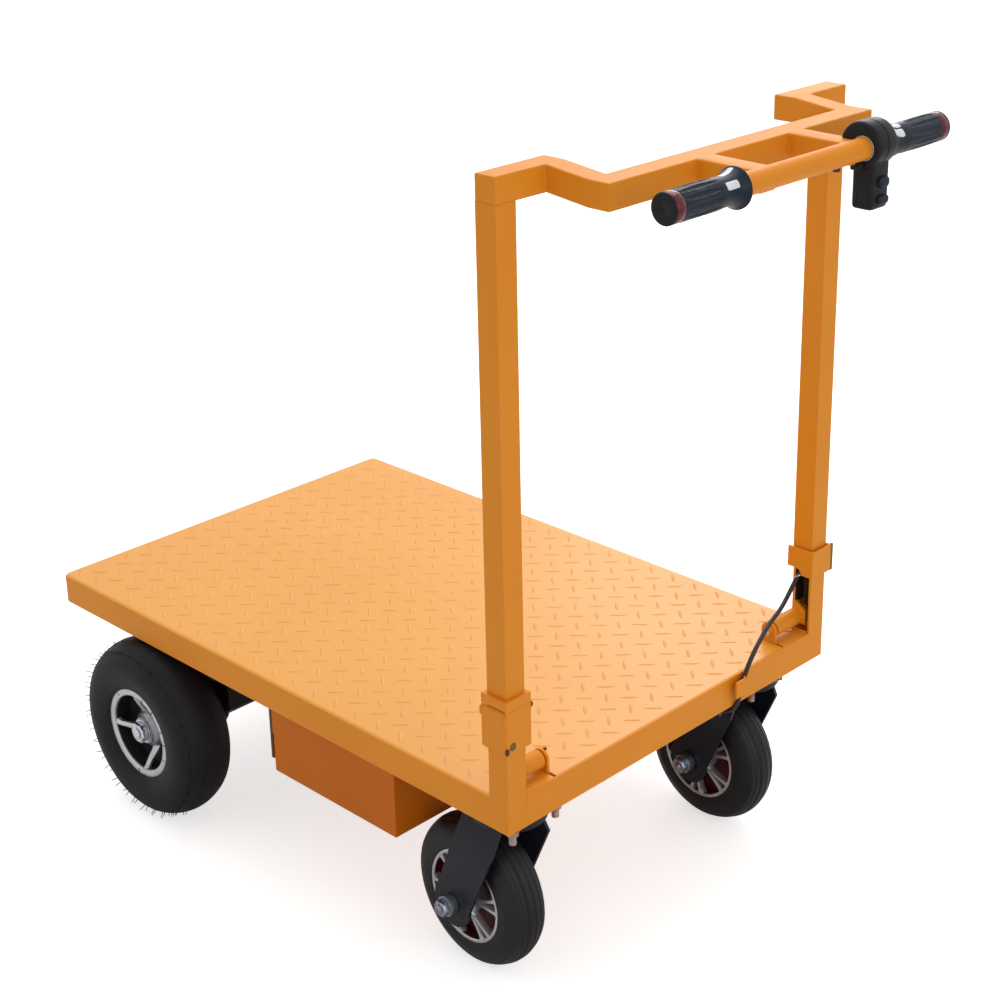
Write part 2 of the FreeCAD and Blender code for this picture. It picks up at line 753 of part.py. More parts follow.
def cable_route():
    """The cable's points, given from the deck's rear right corner."""
    return [Vector(rear_x + x, half_width + y, deck_top + z) for x, y, z in cable_points]


def control_cable():
    """A round tube along straight runs joined by the largest tangent arcs the runs allow."""
    points = cable_route()
    edges = []
    start = points[0]
    for before, point, after in zip(points, points[1:], points[2:]):
        back = (before - point).normalize()
        ahead = (after - point).normalize()
        half_turn = (math.pi - back.getAngle(ahead)) / 2
        reach = cable_corner_share * min((before - point).Length, (after - point).Length)
        radius = reach / math.tan(half_turn)
        first = point + back * reach
        last = point + ahead * reach
        bisector = (back + ahead).normalize()
        middle = point + bisector * (radius / math.cos(half_turn) - radius)
        edges.append(Part.LineSegment(start, first).toShape())
        edges.append(Part.Arc(first, middle, last).toShape())
        start = last
        print("cable turn %5.1f degrees, radius %5.1f mm, run %5.1f mm"
              % (math.degrees(2 * half_turn), radius, (before - point).Length))
    edges.append(Part.LineSegment(start, points[-1]).toShape())
    path = Part.Wire(edges)
    length = path.Length
    ring_edge = Part.makeCircle(cable_diameter / 2, points[0], points[1] - points[0])
    tube_solid = path.makePipeShell([Part.Wire(ring_edge)], True, False)
    expected = math.pi * cable_diameter ** 2 / 4 * length
    print("cable length %.1f mm, volume %.0f of %.0f mm3" % (length, tube_solid.Volume, expected))
    return tube_solid


def cable_gland():
    """A round gland in line with the cable's end, on a block under the rear rail."""
    before, end = cable_route()[-2:]
    reach = (end - before).normalize() * gland_size
    body = rod(gland_size, end, end + reach)
    middle = end + reach * gland_seat_place
    half = gland_seat / 2
    seat = block(middle.x - half, middle.x + half, middle.y - half, middle.y + half,
                 middle.z, frame_bottom)
    return joined([body, seat])


def cable_tab():
    """A bent tab on the rear rail that the cable passes behind."""
    middle = cable_route()[9].y
    y0 = middle - tab_width / 2
    y1 = middle + tab_width / 2
    low = frame_bottom + tab_rise
    face = rear_x + tab_gap
    outer = block(face, face + tab_sheet, y0, y1, low, low + tab_height)
    top = block(rear_x, face + tab_sheet, y1 - tab_sheet, y1, low, low + tab_height)
    return joined([outer, top])


def all_parts():
    parts = {
        "deck_plate": deck_plate(),
        "rear_rail": rear_rail(),
        "cross_members": cross_members(),
        "collar_left": collar(-1, collar_length_left),
        "collar_right": notched(collar(1, collar_length_right), 1),
        "battery_box": battery_box(),
        "battery": battery(),
        "axle_cradle": axle_cradle(),
        "drive_axle": drive_axle(),
        "drive_motor": drive_motor(),
        "control_cable": control_cable(),
        "cable_gland": cable_gland(),
        "cable_tab": cable_tab(),
        "leg_ring": leg_ring(),
        "top_bar": top_bar(),
        "handle_links": handle_links(),
        "handlebar": handlebar(),
        "grip_left": flanged_grip(),
        "grip_right": grip(housing_end, grip_end_right),
        "throttle_housing": throttle_housing(),
        "switch_box": switch_box(),
    }
    makers = (side_rail, post_stub, hinge_pin, axle_shaft, drive_tyre, drive_rim, castor_plate,
              castor_fork, castor_axle, castor_tyre, castor_rim, handle_leg)
    for name, side in sides:
        for maker in makers:
            parts[maker.__name__ + "_" + name] = maker(side)
    return parts


def main():
    os.makedirs("parts", exist_ok=True)
    for name, shape in all_parts().items():
        solids = shape.Solids
        if not shape.isValid() or not solids:
            raise RuntimeError(name + " is not a valid solid")
        shape.exportStep("parts/" + name + ".step")
        print("%-26s %d solid(s), %9.0f mm3" % (name, len(solids), shape.Volume))


main()
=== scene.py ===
import json
import math
import bmesh
import bpy
import numpy as np
from mathutils import Matrix, Vector


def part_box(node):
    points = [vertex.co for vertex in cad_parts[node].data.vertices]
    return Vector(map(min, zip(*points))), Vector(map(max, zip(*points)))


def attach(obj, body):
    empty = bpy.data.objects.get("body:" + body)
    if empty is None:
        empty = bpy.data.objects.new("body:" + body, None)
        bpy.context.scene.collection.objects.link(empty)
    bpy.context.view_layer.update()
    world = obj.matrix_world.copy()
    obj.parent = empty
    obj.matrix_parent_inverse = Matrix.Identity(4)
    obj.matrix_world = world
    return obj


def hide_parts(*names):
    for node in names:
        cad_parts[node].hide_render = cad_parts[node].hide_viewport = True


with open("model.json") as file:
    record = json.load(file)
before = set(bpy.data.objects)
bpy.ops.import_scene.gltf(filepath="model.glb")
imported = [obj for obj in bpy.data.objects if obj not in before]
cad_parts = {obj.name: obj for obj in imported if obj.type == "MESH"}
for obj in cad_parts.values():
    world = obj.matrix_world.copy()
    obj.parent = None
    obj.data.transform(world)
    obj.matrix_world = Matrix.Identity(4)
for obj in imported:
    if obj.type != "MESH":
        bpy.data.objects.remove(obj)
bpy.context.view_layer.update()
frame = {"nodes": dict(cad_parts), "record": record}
scene = bpy.context.scene
behaviour = frame["record"]["behaviour"]
mm = 0.001
sides = (("left", -1), ("right", 1))
print("frame loaded:", len(frame["nodes"]), "nodes")


def boxOf(node):
    low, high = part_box(node)
    return np.array(low), np.array(high)


def bodyOf(node):
    return next(body for body, nodes in behaviour["bodies"].items() if node in nodes)


def jointOf(name):
    return next(joint for joint in behaviour["joints"] if joint["name"] == name)


deckLow, deckHigh = boxOf("deck_plate")
deckSide, deckTop = deckHigh[1:]
rearX = boxOf("rear_rail")[1][0]


# camera, light and floor

cameraView = dict(azimuth=45.18, elevation=21.16, roll=-1.24, distance=2.7118,
                  target=((deckLow[0] + rearX) / 2, 0.1445, 0.5293), lens=69.86,
                  shiftX=0.0019, shiftY=-0.0783)


def makeCamera(view):
    # the camera looks back along the direction given by azimuth and elevation, then rolls about it
    a = math.radians(view["azimuth"])
    e = math.radians(view["elevation"])
    turn = math.radians(view["roll"])
    back = Vector((math.sin(a) * math.cos(e), -math.cos(a) * math.cos(e), math.sin(e)))
    right = (-back).cross(Vector((0, 0, 1))).normalized()
    up = right.cross(-back)
    rolledRight = right * math.cos(turn) + up * math.sin(turn)
    rolledUp = up * math.cos(turn) - right * math.sin(turn)
    data = bpy.data.cameras.new("camera")
    data.lens = view["lens"]
    data.sensor_width = 36
    data.shift_x = view["shiftX"]
    data.shift_y = view["shiftY"]
    camera = bpy.data.objects.new("camera", data)
    place = Matrix((rolledRight, rolledUp, back)).transposed().to_4x4()
    place.translation = Vector(view["target"]) + back * view["distance"]
    camera.matrix_world = place
    scene.collection.objects.link(camera)
    scene.camera = camera


lightSet = dict(
    skyStrength=0.62,
    lamps=(
        dict(name="overheadLamp", at=(-0.6, 0.8, 3.0), aim=(-0.1, 0, 0.3), size=2.6, power=37.5),
        dict(name="farLamp", at=(-1.7, 3.1, 2.1), aim=(0, 0, 0.3), size=1.8, power=16),
        dict(name="rearLamp", at=(2.6, -0.4, 1.5), aim=(0, 0, 0.4), size=1.6, power=8)),
    floorColour=(0.90, 0.895, 0.885), floorRough=0.9, floorLift=0.62, floorSize=40.0)


def makeLamp(name, at, aim, size, power):
    data = bpy.data.lights.new(name, "AREA")
    data.shape = "DISK"
    data.size = size
    data.energy = power
    lamp = bpy.data.objects.new(name, data)
    lamp.location = at
    lamp.rotation_euler = (Vector(aim) - Vector(at)).to_track_quat("-Z", "Y").to_euler()
    scene.collection.objects.link(lamp)


def addNode(tree, kind, inputs, output=0, **settings):
    # a node whose inputs are each a value or another node's output
    node = tree.nodes.new("ShaderNode" + kind)
    for key, value in settings.items():
        setattr(node, key, value)
    for label, value in inputs.items():
        if isinstance(value, bpy.types.NodeSocket):
            tree.links.new(value, node.inputs[label])
        else:
            node.inputs[label].default_value = value
    return node.outputs[output]


def makeSky(strength):
    # white where the camera, a gloss or a clear ray sees it, and softer as a light
    world = bpy.data.worlds.new("sky")
    scene.world = world
    world.use_nodes = True
    tree = world.node_tree
    rays = tree.nodes.new("ShaderNodeLightPath").outputs
    seen = rays["Is Camera Ray"]
    for label in ("Is Glossy Ray", "Is Transmission Ray"):
        seen = addNode(tree, "Math", {0: seen, 1: rays[label]}, operation="MAXIMUM")
    level = addNode(tree, "MapRange", {"Value": seen, "To Min": strength, "To Max": 1.0})
    background = tree.nodes["Background"].inputs
    background["Color"].default_value = (1, 1, 1, 1)
    tree.links.new(level, background["Strength"])


def makeFloor(values):
    half = values["floorSize"] / 2
    mesh = bpy.data.meshes.new("floor")
    mesh.from_pydata([(-half, -half, 0), (half, -half, 0), (half, half, 0), (-half, half, 0)],
                     [], [(0, 1, 2, 3)])
    floor = bpy.data.objects.new("floor", mesh)
    scene.collection.objects.link(floor)
    material = bpy.data.materials.new("paleFloor")
    material.use_nodes = True
    tree = material.node_tree
    shader = tree.nodes["Principled BSDF"].inputs
    shader["Base Color"].default_value = (*values["floorColour"], 1)
    shader["Roughness"].default_value = values["floorRough"]
    shader["Emission Color"].default_value = (1, 1, 1, 1)
    rays = tree.nodes.new("ShaderNodeLightPath").outputs
    lift = addNode(tree, "Math", {0: rays["Is Camera Ray"], 1: values["floorLift"]},
                   operation="MULTIPLY")
    tree.links.new(lift, shader["Emission Strength"])
    mesh.materials.append(material)


makeCamera(cameraView)
for lamp in lightSet["lamps"]:
    makeLamp(**lamp)
makeSky(lightSet["skyStrength"])
makeFloor(lightSet)
scene.view_settings.view_transform = "Standard"
print("camera, lamps and floor made")


# finishes

def makeSurfaceGroup():
    # broad patches, fine grain and sparse specks, shared by every finish
    group = bpy.data.node_groups.new("surfaceVariation", "ShaderNodeTree")
    for way, kind, labels in (
            ("INPUT", "Color", ("Colour", "Dark Colour", "Speck Colour")),
            ("INPUT", "Float", ("Patch Scale", "Patch Amount", "Grain Scale", "Speck Scale",
                                "Speck Amount", "Roughness", "Roughness Spread")),
            ("OUTPUT", "Color", ("Colour",)), ("OUTPUT", "Float", ("Roughness", "Height"))):
        for label in labels:
            group.interface.new_socket(label, in_out=way, socket_type="NodeSocket" + kind)
    given = group.nodes.new("NodeGroupInput").outputs
    result = group.nodes.new("NodeGroupOutput").inputs
    where = group.nodes.new("ShaderNodeTexCoord").outputs["Object"]

    def noise(scale, detail, roughness):
        return addNode(group, "TexNoise", {"Vector": where, "Scale": given[scale],
                                           "Detail": detail, "Roughness": roughness})

    def combine(operation, first, second, clamp=False):
        return addNode(group, "Math", {0: first, 1: second}, operation=operation, use_clamp=clamp)

    def mask(value, low, high, amount):
        # 0 below the low value and 1 above the high one, times an amount
        share = addNode(group, "MapRange", {"Value": value, "From Min": low, "From Max": high})
        return combine("MULTIPLY", share, given[amount])

    patch = noise("Patch Scale", 4.0, 0.6)
    grain = noise("Grain Scale", 2.0, 0.5)
    speck = noise("Speck Scale", 3.0, 0.65)
    patchMask = mask(patch, 0.35, 0.7, "Patch Amount")
    speckMask = mask(speck, 0.66, 0.72, "Speck Amount")
    colour = given["Colour"]
    for amount, label in ((patchMask, "Dark Colour"), (speckMask, "Speck Colour")):
        colour = addNode(group, "Mix", {0: amount, 6: colour, 7: given[label]}, 2,
                         data_type="RGBA")
    uneven = combine("ADD", combine("MULTIPLY", patch, 0.6), combine("MULTIPLY", grain, 0.4))
    uneven = combine("MULTIPLY", combine("SUBTRACT", uneven, 0.5), given["Roughness Spread"])
    rough = combine("ADD", combine("ADD", uneven, given["Roughness"]),
                    combine("MULTIPLY", speckMask, 0.2), True)
    height = combine("SUBTRACT", grain, combine("MULTIPLY", speckMask, 0.6))
    for label, value in (("Colour", colour), ("Roughness", rough), ("Height", height)):
        group.links.new(value, result[label])
    return group


surfaceGroup = makeSurfaceGroup()

# each finish: its slot; its colour, its darker patches and its specks; the scale and amount of
# the patches and of the specks; the roughness and its spread; the bump in mm; the gloss
finishes = dict(
    orangePaint=dict(slot="orange_paint",
        colours=((0.8, 0.278, 0.014), (0.73, 0.232, 0.01), (0.45, 0.14, 0.015)), patch=(5, 0.5),
        grain=700, specks=(190, 0.25), rough=(0.45, 0.16), bump=0.03, specular=0.2),
    # the deck's top: the orange made lighter as painted light on the upward faces, and glossier
    litDeckPaint=dict(slot="orange_paint",
        colours=((0.85, 0.352, 0.02), (0.79, 0.302, 0.014), (0.55, 0.2, 0.03)), patch=(4, 0.5),
        grain=500, specks=(120, 0.35), rough=(0.39, 0.2), bump=0.04, specular=0.5, coat=0.34,
        coatRough=0.27),
    # the tread's bumps: the deck's painted light made a little darker as painted shade on the bumps
    litShadedTreadPaint=dict(slot="orange_paint",
        colours=((0.79, 0.322, 0.021), (0.71, 0.272, 0.016), (0.5, 0.18, 0.03)), patch=(9, 0.8),
        grain=500, specks=(120, 0.35), rough=(0.4, 0.2), bump=0.04, specular=0.48, coat=0.32,
        coatRough=0.28),
    # the box: the frame's orange made darker and redder, painted shade for the box under the deck
    shadedBoxPaint=dict(slot="orange_paint",
        colours=((0.59, 0.145, 0.003), (0.48, 0.105, 0.002), (0.4, 0.1, 0.01)), patch=(5, 0.5),
        grain=700, specks=(190, 0.25), rough=(0.5, 0.16), bump=0.03, specular=0.15),
    blackPaint=dict(slot="black_paint",
        colours=((0.008, 0.008, 0.009), (0.014, 0.014, 0.016), (0.06, 0.055, 0.05)),
        patch=(14, 0.6), grain=900, specks=(260, 0.25), rough=(0.38, 0.2), bump=0.03,
        specular=0.22, coat=0.1, coatRough=0.15),
    forkPaint=dict(slot="black_paint",
        colours=((0.005, 0.006, 0.012), (0.009, 0.012, 0.022), (0.05, 0.05, 0.06)),
        patch=(14, 0.6), grain=900, specks=(260, 0.2), rough=(0.34, 0.16), bump=0.03, specular=0.2,
        coat=0.12, coatRough=0.12),
    zincSteel=dict(slot="zinc_steel",
        colours=((0.62, 0.65, 0.72), (0.5, 0.49, 0.46), (0.25, 0.22, 0.2)), patch=(60, 0.7),
        grain=2200, specks=(700, 0.4), rough=(0.28, 0.3), bump=0.03, metal=1),
    rustyZinc=dict(slot="zinc_steel",
        colours=((0.42, 0.3, 0.27), (0.3, 0.16, 0.11), (0.2, 0.09, 0.05)), patch=(90, 0.8),
        grain=2200, specks=(700, 0.6), rough=(0.45, 0.3), bump=0.05, metal=0.6),
    castSilver=dict(slot="cast_wheel",
        colours=((0.6, 0.595, 0.61), (0.45, 0.45, 0.47), (0.12, 0.11, 0.11)), patch=(40, 0.6),
        grain=1500, specks=(420, 0.7), rough=(0.36, 0.25), bump=0.04, metal=0.75),
    wheelDark=dict(slot="cast_wheel",
        colours=((0.008, 0.007, 0.008), (0.016, 0.012, 0.012), (0.05, 0.04, 0.035)),
        patch=(30, 0.6), grain=1200, specks=(300, 0.3), rough=(0.5, 0.2), bump=0.05, specular=0.3),
    wheelMaroon=dict(slot="cast_wheel",
        colours=((0.093, 0.004, 0.008), (0.043, 0.002, 0.004), (0.3, 0.05, 0.05)), patch=(40, 0.7),
        grain=1200, specks=(300, 0.3), rough=(0.42, 0.2), bump=0.05, specular=0.3),
    tyreRubber=dict(slot="black_tyre",
        colours=((0.0085, 0.0075, 0.0095), (0.016, 0.015, 0.0165), (0.045, 0.042, 0.04)),
        patch=(7, 0.7), grain=1300, specks=(340, 0.2), rough=(0.52, 0.25), bump=0.08,
        specular=0.17),
    castorRubber=dict(slot="black_tyre",
        colours=((0.006, 0.0058, 0.0075), (0.0105, 0.01, 0.012), (0.06, 0.06, 0.065)),
        patch=(9, 0.7), grain=1300, specks=(340, 0.2), rough=(0.44, 0.25), bump=0.08, specular=0.3),
    gripRubber=dict(slot="grip_rubber",
        colours=((0.008, 0.015, 0.027), (0.013, 0.021, 0.034), (0.04, 0.05, 0.06)),
        patch=(30, 0.6), grain=1700, specks=(500, 0.2), rough=(0.34, 0.2), bump=0.05, specular=0.2),
    blackPlastic=dict(slot="black_plastic",
        colours=((0.009, 0.009, 0.011), (0.015, 0.015, 0.018), (0.04, 0.04, 0.045)),
        patch=(40, 0.5), grain=2600, specks=(600, 0.2), rough=(0.36, 0.15), bump=0.04,
        specular=0.18),
    # white for painted highlights on the grips, in place of reflections of two window-like lights
    glintWhite=dict(slot="black_plastic",
        colours=((0.78, 0.79, 0.86), (0.64, 0.65, 0.72), (0.4, 0.4, 0.42)), patch=(80, 0.6),
        grain=2600, specks=(700, 0.3), rough=(0.25, 0.1), bump=0.02),
    redRing=dict(slot="cast_wheel",
        colours=((0.13, 0.008, 0.014), (0.06, 0.004, 0.008), (0.5, 0.2, 0.2)), patch=(60, 0.5),
        grain=2600, specks=(700, 0.3), rough=(0.16, 0.1), bump=0.02, metal=0.3),
    # the castors' bolts: the zinc darkened, painted shade for the shade under the deck
    shadedZinc=dict(slot="zinc_steel",
        colours=((0.36, 0.39, 0.46), (0.15, 0.16, 0.2), (0.6, 0.62, 0.68)), patch=(55, 0.8),
        grain=2200, specks=(380, 0.5), rough=(0.3, 0.3), bump=0.06, metal=0.9),
    hubSilver=dict(slot="cast_wheel",
        colours=((0.34, 0.355, 0.39), (0.17, 0.18, 0.2), (0.6, 0.62, 0.66)), patch=(45, 0.7),
        grain=2200, specks=(420, 0.5), rough=(0.34, 0.3), bump=0.08, metal=0.75),
    # dark brown for screws, marks and the box's straps; on the straps it is partly painted shade
    brownSteelAndShade=dict(slot="zinc_steel",
        colours=((0.115, 0.042, 0.012), (0.07, 0.026, 0.01), (0.12, 0.06, 0.03)), patch=(12, 0.5),
        grain=1500, specks=(300, 0.3), rough=(0.5, 0.2), bump=0.05, specular=0.25),
    # painted shade: a dark brown for the shaded insides of the posts and the straps' faces
    paintedShade=dict(slot="black_paint",
        colours=((0.03, 0.017, 0.013), (0.018, 0.01, 0.008), (0.09, 0.05, 0.03)), patch=(30, 0.7),
        grain=1500, specks=(400, 0.5), rough=(0.6, 0.2), bump=0.05, specular=0.2),
    # dark olive: painted shade on the right socket's edge strip, and the colour of the left
    # socket's nub
    oliveSteelAndShade=dict(slot="orange_paint",
        colours=((0.21, 0.145, 0.022), (0.11, 0.078, 0.016), (0.12, 0.1, 0.05)), patch=(30, 0.7),
        grain=1500, specks=(400, 0.5), rough=(0.5, 0.2), bump=0.05, specular=0.25),
    cableSheath=dict(slot="cable_sheath",
        colours=((0.02, 0.01, 0.008), (0.032, 0.014, 0.01), (0.05, 0.04, 0.03)), patch=(60, 0.6),
        grain=2600, specks=(500, 0.2), rough=(0.42, 0.2), bump=0.03, specular=0.35))

def makeFinish(name, values):
    material = bpy.data.materials.new(name)
    material.use_nodes = True
    tree = material.node_tree
    shader = tree.nodes["Principled BSDF"].inputs
    effect = tree.nodes.new("ShaderNodeGroup")
    effect.node_tree = surfaceGroup
    given = [(*colour, 1) for colour in values["colours"]]
    given += [*values["patch"], values["grain"], *values["specks"], *values["rough"]]
    for socket, value in zip(effect.inputs, given):
        socket.default_value = value
    bump = addNode(tree, "Bump", {"Distance": values["bump"] * mm, "Strength": 1.0,
                                  "Height": effect.outputs["Height"]})
    tree.links.new(effect.outputs["Colour"], shader["Base Color"])
    tree.links.new(effect.outputs["Roughness"], shader["Roughness"])
    tree.links.new(bump, shader["Normal"])
    for label, key, usual in (("Metallic", "metal", 0.0), ("Specular IOR Level", "specular", 0.5),
                              ("Coat Weight", "coat", 0.0), ("Coat Roughness", "coatRough", 0.03)):
        shader[label].default_value = values.get(key, usual)
    return material


paint = {name: makeFinish(name, values) for name, values in finishes.items()}
print("finishes made:", len(paint))


# surfaces: each is (points in rows and columns, closed along rows, closed along columns)

def gridFaces(rows, columns, closedRows, closedColumns):
    # quads between neighbouring grid points, joined round where a direction is closed
    r, c = np.meshgrid(np.arange(rows if closedRows else rows - 1),
                       np.arange(columns if closedColumns else columns - 1), indexing="ij")
    nextR = (r + 1) % rows
    nextC = (c + 1) % columns
    corners = (r * columns + c, r * columns + nextC, nextR * columns + nextC, nextR * columns + c)
    return np.stack(corners, axis=-1).reshape(-1, 4)


def axes(direction, up):
    # three unit vectors: across, up and along
    along = np.array(direction, float)
    along /= np.linalg.norm(along)
    if abs(along @ np.array(up)) > 0.99:
        up = (1, 0, 0)
    across = np.cross(np.array(up, float), along)
    across /= np.linalg.norm(across)
    return across, np.cross(along, across), along


def placeOf(centre, direction):
    # a centre with the three unit vectors of a direction
    return (np.array(centre, float), *axes(direction, (0, 0, 1)))


def around(place, r, angle, offset):
    # centre + r cos(angle) across + r sin(angle) up + offset along
    centre, across, over, along = place
    r, angle, offset = np.broadcast_arrays(r, angle, offset)
    return (centre + (r * np.cos(angle))[..., None] * across
            + (r * np.sin(angle))[..., None] * over + offset[..., None] * along)


def lathe(place, profile, closed=False, steps=96, flat=0.0):
    # a profile of (radius, offset) turned about an axis; with a flat, no radius passes the
    # hexagon flat / cos(angle from the middle of its side)
    profile = np.array(profile, float) * mm
    angle = np.linspace(0, 2 * math.pi, steps, endpoint=False)
    r = profile[:, :1] + 0 * angle
    if flat:
        sixth = math.pi / 3
        r = np.minimum(r, flat * mm / np.cos(angle % sixth - sixth / 2))
    return around(place, r, angle[None], profile[:, 1:]), closed, True


def smooth(points, steps=6):
    # a smooth line through the points: each stretch is a cubic whose slope at an end is half
    # the step between that end's neighbours
    p = np.array(points, float)
    p = np.concatenate([2 * p[:1] - p[1:2], p, 2 * p[-1:] - p[-2:-1]])
    t = np.linspace(0, 1, steps, endpoint=False)[:, None]
    a, b, c, d = (p[i:len(p) - 3 + i, None] for i in range(4))
    line = 0.5 * (2 * b + (c - a) * t + (2 * a - 5 * b + 4 * c - d) * t ** 2
                  + (3 * b - a - 3 * c + d) * t ** 3)
    return np.concatenate([line.reshape(-1, p.shape[1]), p[-2:-1]])


def capped(points):
    # closes both ends of a tube of rings with their middle points
    ends = [np.repeat(ring.mean(axis=1, keepdims=True), points.shape[1], axis=1)
            for ring in (points[:1], points[-1:])]
    return np.concatenate([ends[0], points, ends[1]]), False, True


def rib(place, r, angle, offset, width, depth, section):
    # a spoke: its section stands across the line (r, angle) in the wheel's plane, its x times
    # the half width sideways and its y times the depth along the axle from the offset
    centre, across, over, along = place
    angle, offset, width = (np.broadcast_to(value, r.shape) for value in (angle, offset, width))
    line = np.stack([r * np.cos(angle), r * np.sin(angle)], axis=-1) * mm
    run = np.gradient(line, axis=0)
    run /= np.linalg.norm(run, axis=1)[:, None]
    side = np.stack([-run[:, 1], run[:, 0]], axis=-1)
    spot = line[:, None] + width[:, None, None] * mm * section[None, :, :1] * side[:, None]
    rise = (offset[:, None] + depth * section[None, :, 1]) * mm
    return capped(centre + spot[..., :1] * across + spot[..., 1:] * over
                  + rise[..., None] * along)


def hexHead(place, flat, height, washer=1.2, tip=0.0, tipRadius=0.0, start=0.0):
    # a hexagon with chamfered ends on a washer, with a threaded end beyond it where there is one
    corner = flat / math.cos(math.pi / 6)
    foot = start + washer
    top = foot + height
    surfaces = [lathe(place, [(0, foot - 0.1), (flat * 0.97, foot - 0.1),
                              (corner, foot + 0.1 * height), (corner, top - 0.14 * height),
                              (flat * 0.93, top), (0, top)], steps=48, flat=flat)]
    if washer:
        disc = corner * 1.16
        surfaces.append(lathe(place, [(0, start), (disc, start), (disc, foot - 0.3),
                                      (disc - 0.3, foot), (0, foot)], steps=40))
    if tip:
        turns = np.arange(top - 0.2, top + tip, 0.5)
        thread = tipRadius * (1 - 0.09 * (np.arange(len(turns)) % 2))
        thread[-1] = tipRadius * 0.8
        surfaces.append(lathe(place, [(0, turns[0]), *zip(thread, turns), (0, turns[-1])],
                              steps=24))
    return surfaces


def carried(radius, path, steps=10):
    # a round section carried along a smooth path; radius may change from point to point
    path = np.array(path, float)
    tangent = np.gradient(path, axis=0)
    tangent /= np.linalg.norm(tangent, axis=1)[:, None]
    across = np.cross(tangent, (0.31, 0.17, 0.93))  # a direction that no path here follows
    across /= np.linalg.norm(across, axis=1)[:, None]
    over = np.cross(tangent, across)
    t = np.linspace(0, 2 * math.pi, steps, endpoint=False)
    radius = np.broadcast_to(np.array(radius, float), len(path))[:, None, None]
    return capped(path[:, None] + radius * (np.cos(t)[None, :, None] * across[:, None]
                                            + np.sin(t)[None, :, None] * over[:, None]))


def weld(points, radius=1.5, ripple=2.4):
    # a bead along straight runs: its radius is r (1 + 0.18 sin(2 pi s / ripple))
    points = np.array(points, float)
    s = np.concatenate([[0], np.cumsum(np.linalg.norm(np.diff(points, axis=0), axis=1))])
    at = np.linspace(0, s[-1], max(4, int(s[-1] / (ripple * mm)) * 5))
    path = np.stack([np.interp(at, s, points[:, k]) for k in range(3)], axis=-1)
    return carried(radius * mm * (1 + 0.18 * np.sin(2 * math.pi * at / (ripple * mm))), path, 8)


def roundedLoop(halfWidth, halfHeight, radius, arcSteps=5):
    # a rectangle's outline with round corners, anticlockwise from the right; sizes in mm
    t = np.linspace(0, math.pi / 2, arcSteps)
    loop = []
    for quarter, (sx, sy) in enumerate(((1, 1), (-1, 1), (-1, -1), (1, -1))):
        a = t + quarter * math.pi / 2
        loop.append(np.stack([sx * (halfWidth - radius) + radius * np.cos(a),
                              sy * (halfHeight - radius) + radius * np.sin(a)], axis=-1))
    return np.concatenate(loop) * mm


def bar(section, start, end, up=(0, 0, 1), ease=0.0):
    # a section carried straight from start to end, with its end edges eased by some mm
    start = np.array(start, float)
    end = np.array(end, float)
    across, over, along = axes(end - start, up)
    length = np.linalg.norm(end - start)
    ease *= mm
    reach = np.abs(section).max()
    stations = [(0, 1 - ease / reach), (ease * 0.3, 1 - 0.3 * ease / reach), (ease, 1)]
    stations = stations if ease else [(0, 1)]
    stations += [(length - distance, scale) for distance, scale in reversed(stations)]
    return capped(np.array([
        start + along * distance + scale * (section[:, :1] * across + section[:, 1:] * over)
        for distance, scale in stations]))


def makePiece(name, surfaces, finish, body, replaced=None, sharp=38):
    # one mesh from all the surfaces, its seams and poles merged and its faces turned outwards
    allPoints = []
    allFaces = []
    count = 0
    for points, closedRows, closedColumns in surfaces:
        rows, columns = points.shape[:2]
        allPoints.append(points.reshape(-1, 3))
        allFaces.append(gridFaces(rows, columns, closedRows, closedColumns) + count)
        count += rows * columns
    mesh = bpy.data.meshes.new(name)
    mesh.from_pydata(np.concatenate(allPoints), [], np.concatenate(allFaces))
    work = bmesh.new()
    work.from_mesh(mesh)
    bmesh.ops.remove_doubles(work, verts=work.verts, dist=2e-6)
    bmesh.ops.dissolve_degenerate(work, edges=work.edges, dist=1e-6)
    bmesh.ops.recalc_face_normals(work, faces=work.faces)
    work.to_mesh(mesh)
    work.free()
    return finishPiece(name, mesh, finish, body, replaced, sharp)


def finishPiece(name, mesh, finish, body, replaced, sharp):
    # the mesh as an object with its paint and its body
    mesh.materials.clear()
    mesh.materials.append(paint[finish])
    mesh.shade_smooth()
    mesh.set_sharp_from_angle(angle=math.radians(sharp))
    piece = bpy.data.objects.new(name, mesh)
    scene.collection.objects.link(piece)
    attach(piece, body)
    if replaced:
        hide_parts(replaced)
    return piece


def finishedCopy(node, finish, bevel):
    # the node's own shape, merged, with its edges rounded by some mm
    mesh = frame["nodes"][node].data.copy()
    if "custom_normal" in mesh.attributes:
        mesh.attributes.remove(mesh.attributes["custom_normal"])
    work = bmesh.new()
    work.from_mesh(mesh)
    bmesh.ops.remove_doubles(work, verts=work.verts, dist=1e-5)
    bmesh.ops.dissolve_limit(work, angle_limit=math.radians(0.3), verts=work.verts,
                             edges=work.edges)
    work.to_mesh(mesh)
    work.free()
    piece = finishPiece(node + "_shell", mesh, finish, bodyOf(node), node, 32)
    rounding = piece.modifiers.new("rounding", "BEVEL")
    rounding.width = bevel * mm
    rounding.segments = 2
    rounding.limit_method = "ANGLE"
    rounding.angle_limit = math.radians(32)
    return piece


# control cable

cable = dict(corner=np.array((rearX, deckSide, deckTop)), diameter=6 * mm, length=0.263,
             points=((-13, -21, 95), (-17, -30, 86), (-21, -38, 71), (-23, -47, 56), (-18, -71, 44),
                     (-8, -108, 41), (2, -144, 29), (6, -165, 14), (5.5, -175, -4),
                     (5, -181, -23), (4.5, -187, -40), (-2, -193, -50), (-14, -197, -52)),
             wire=((-21, -36, 57), (-24.5, -36, 63), (-23, -36, 76), (-15, -35, 83),
                   (-14, -28, 84)), wireRadius=0.8 * mm)


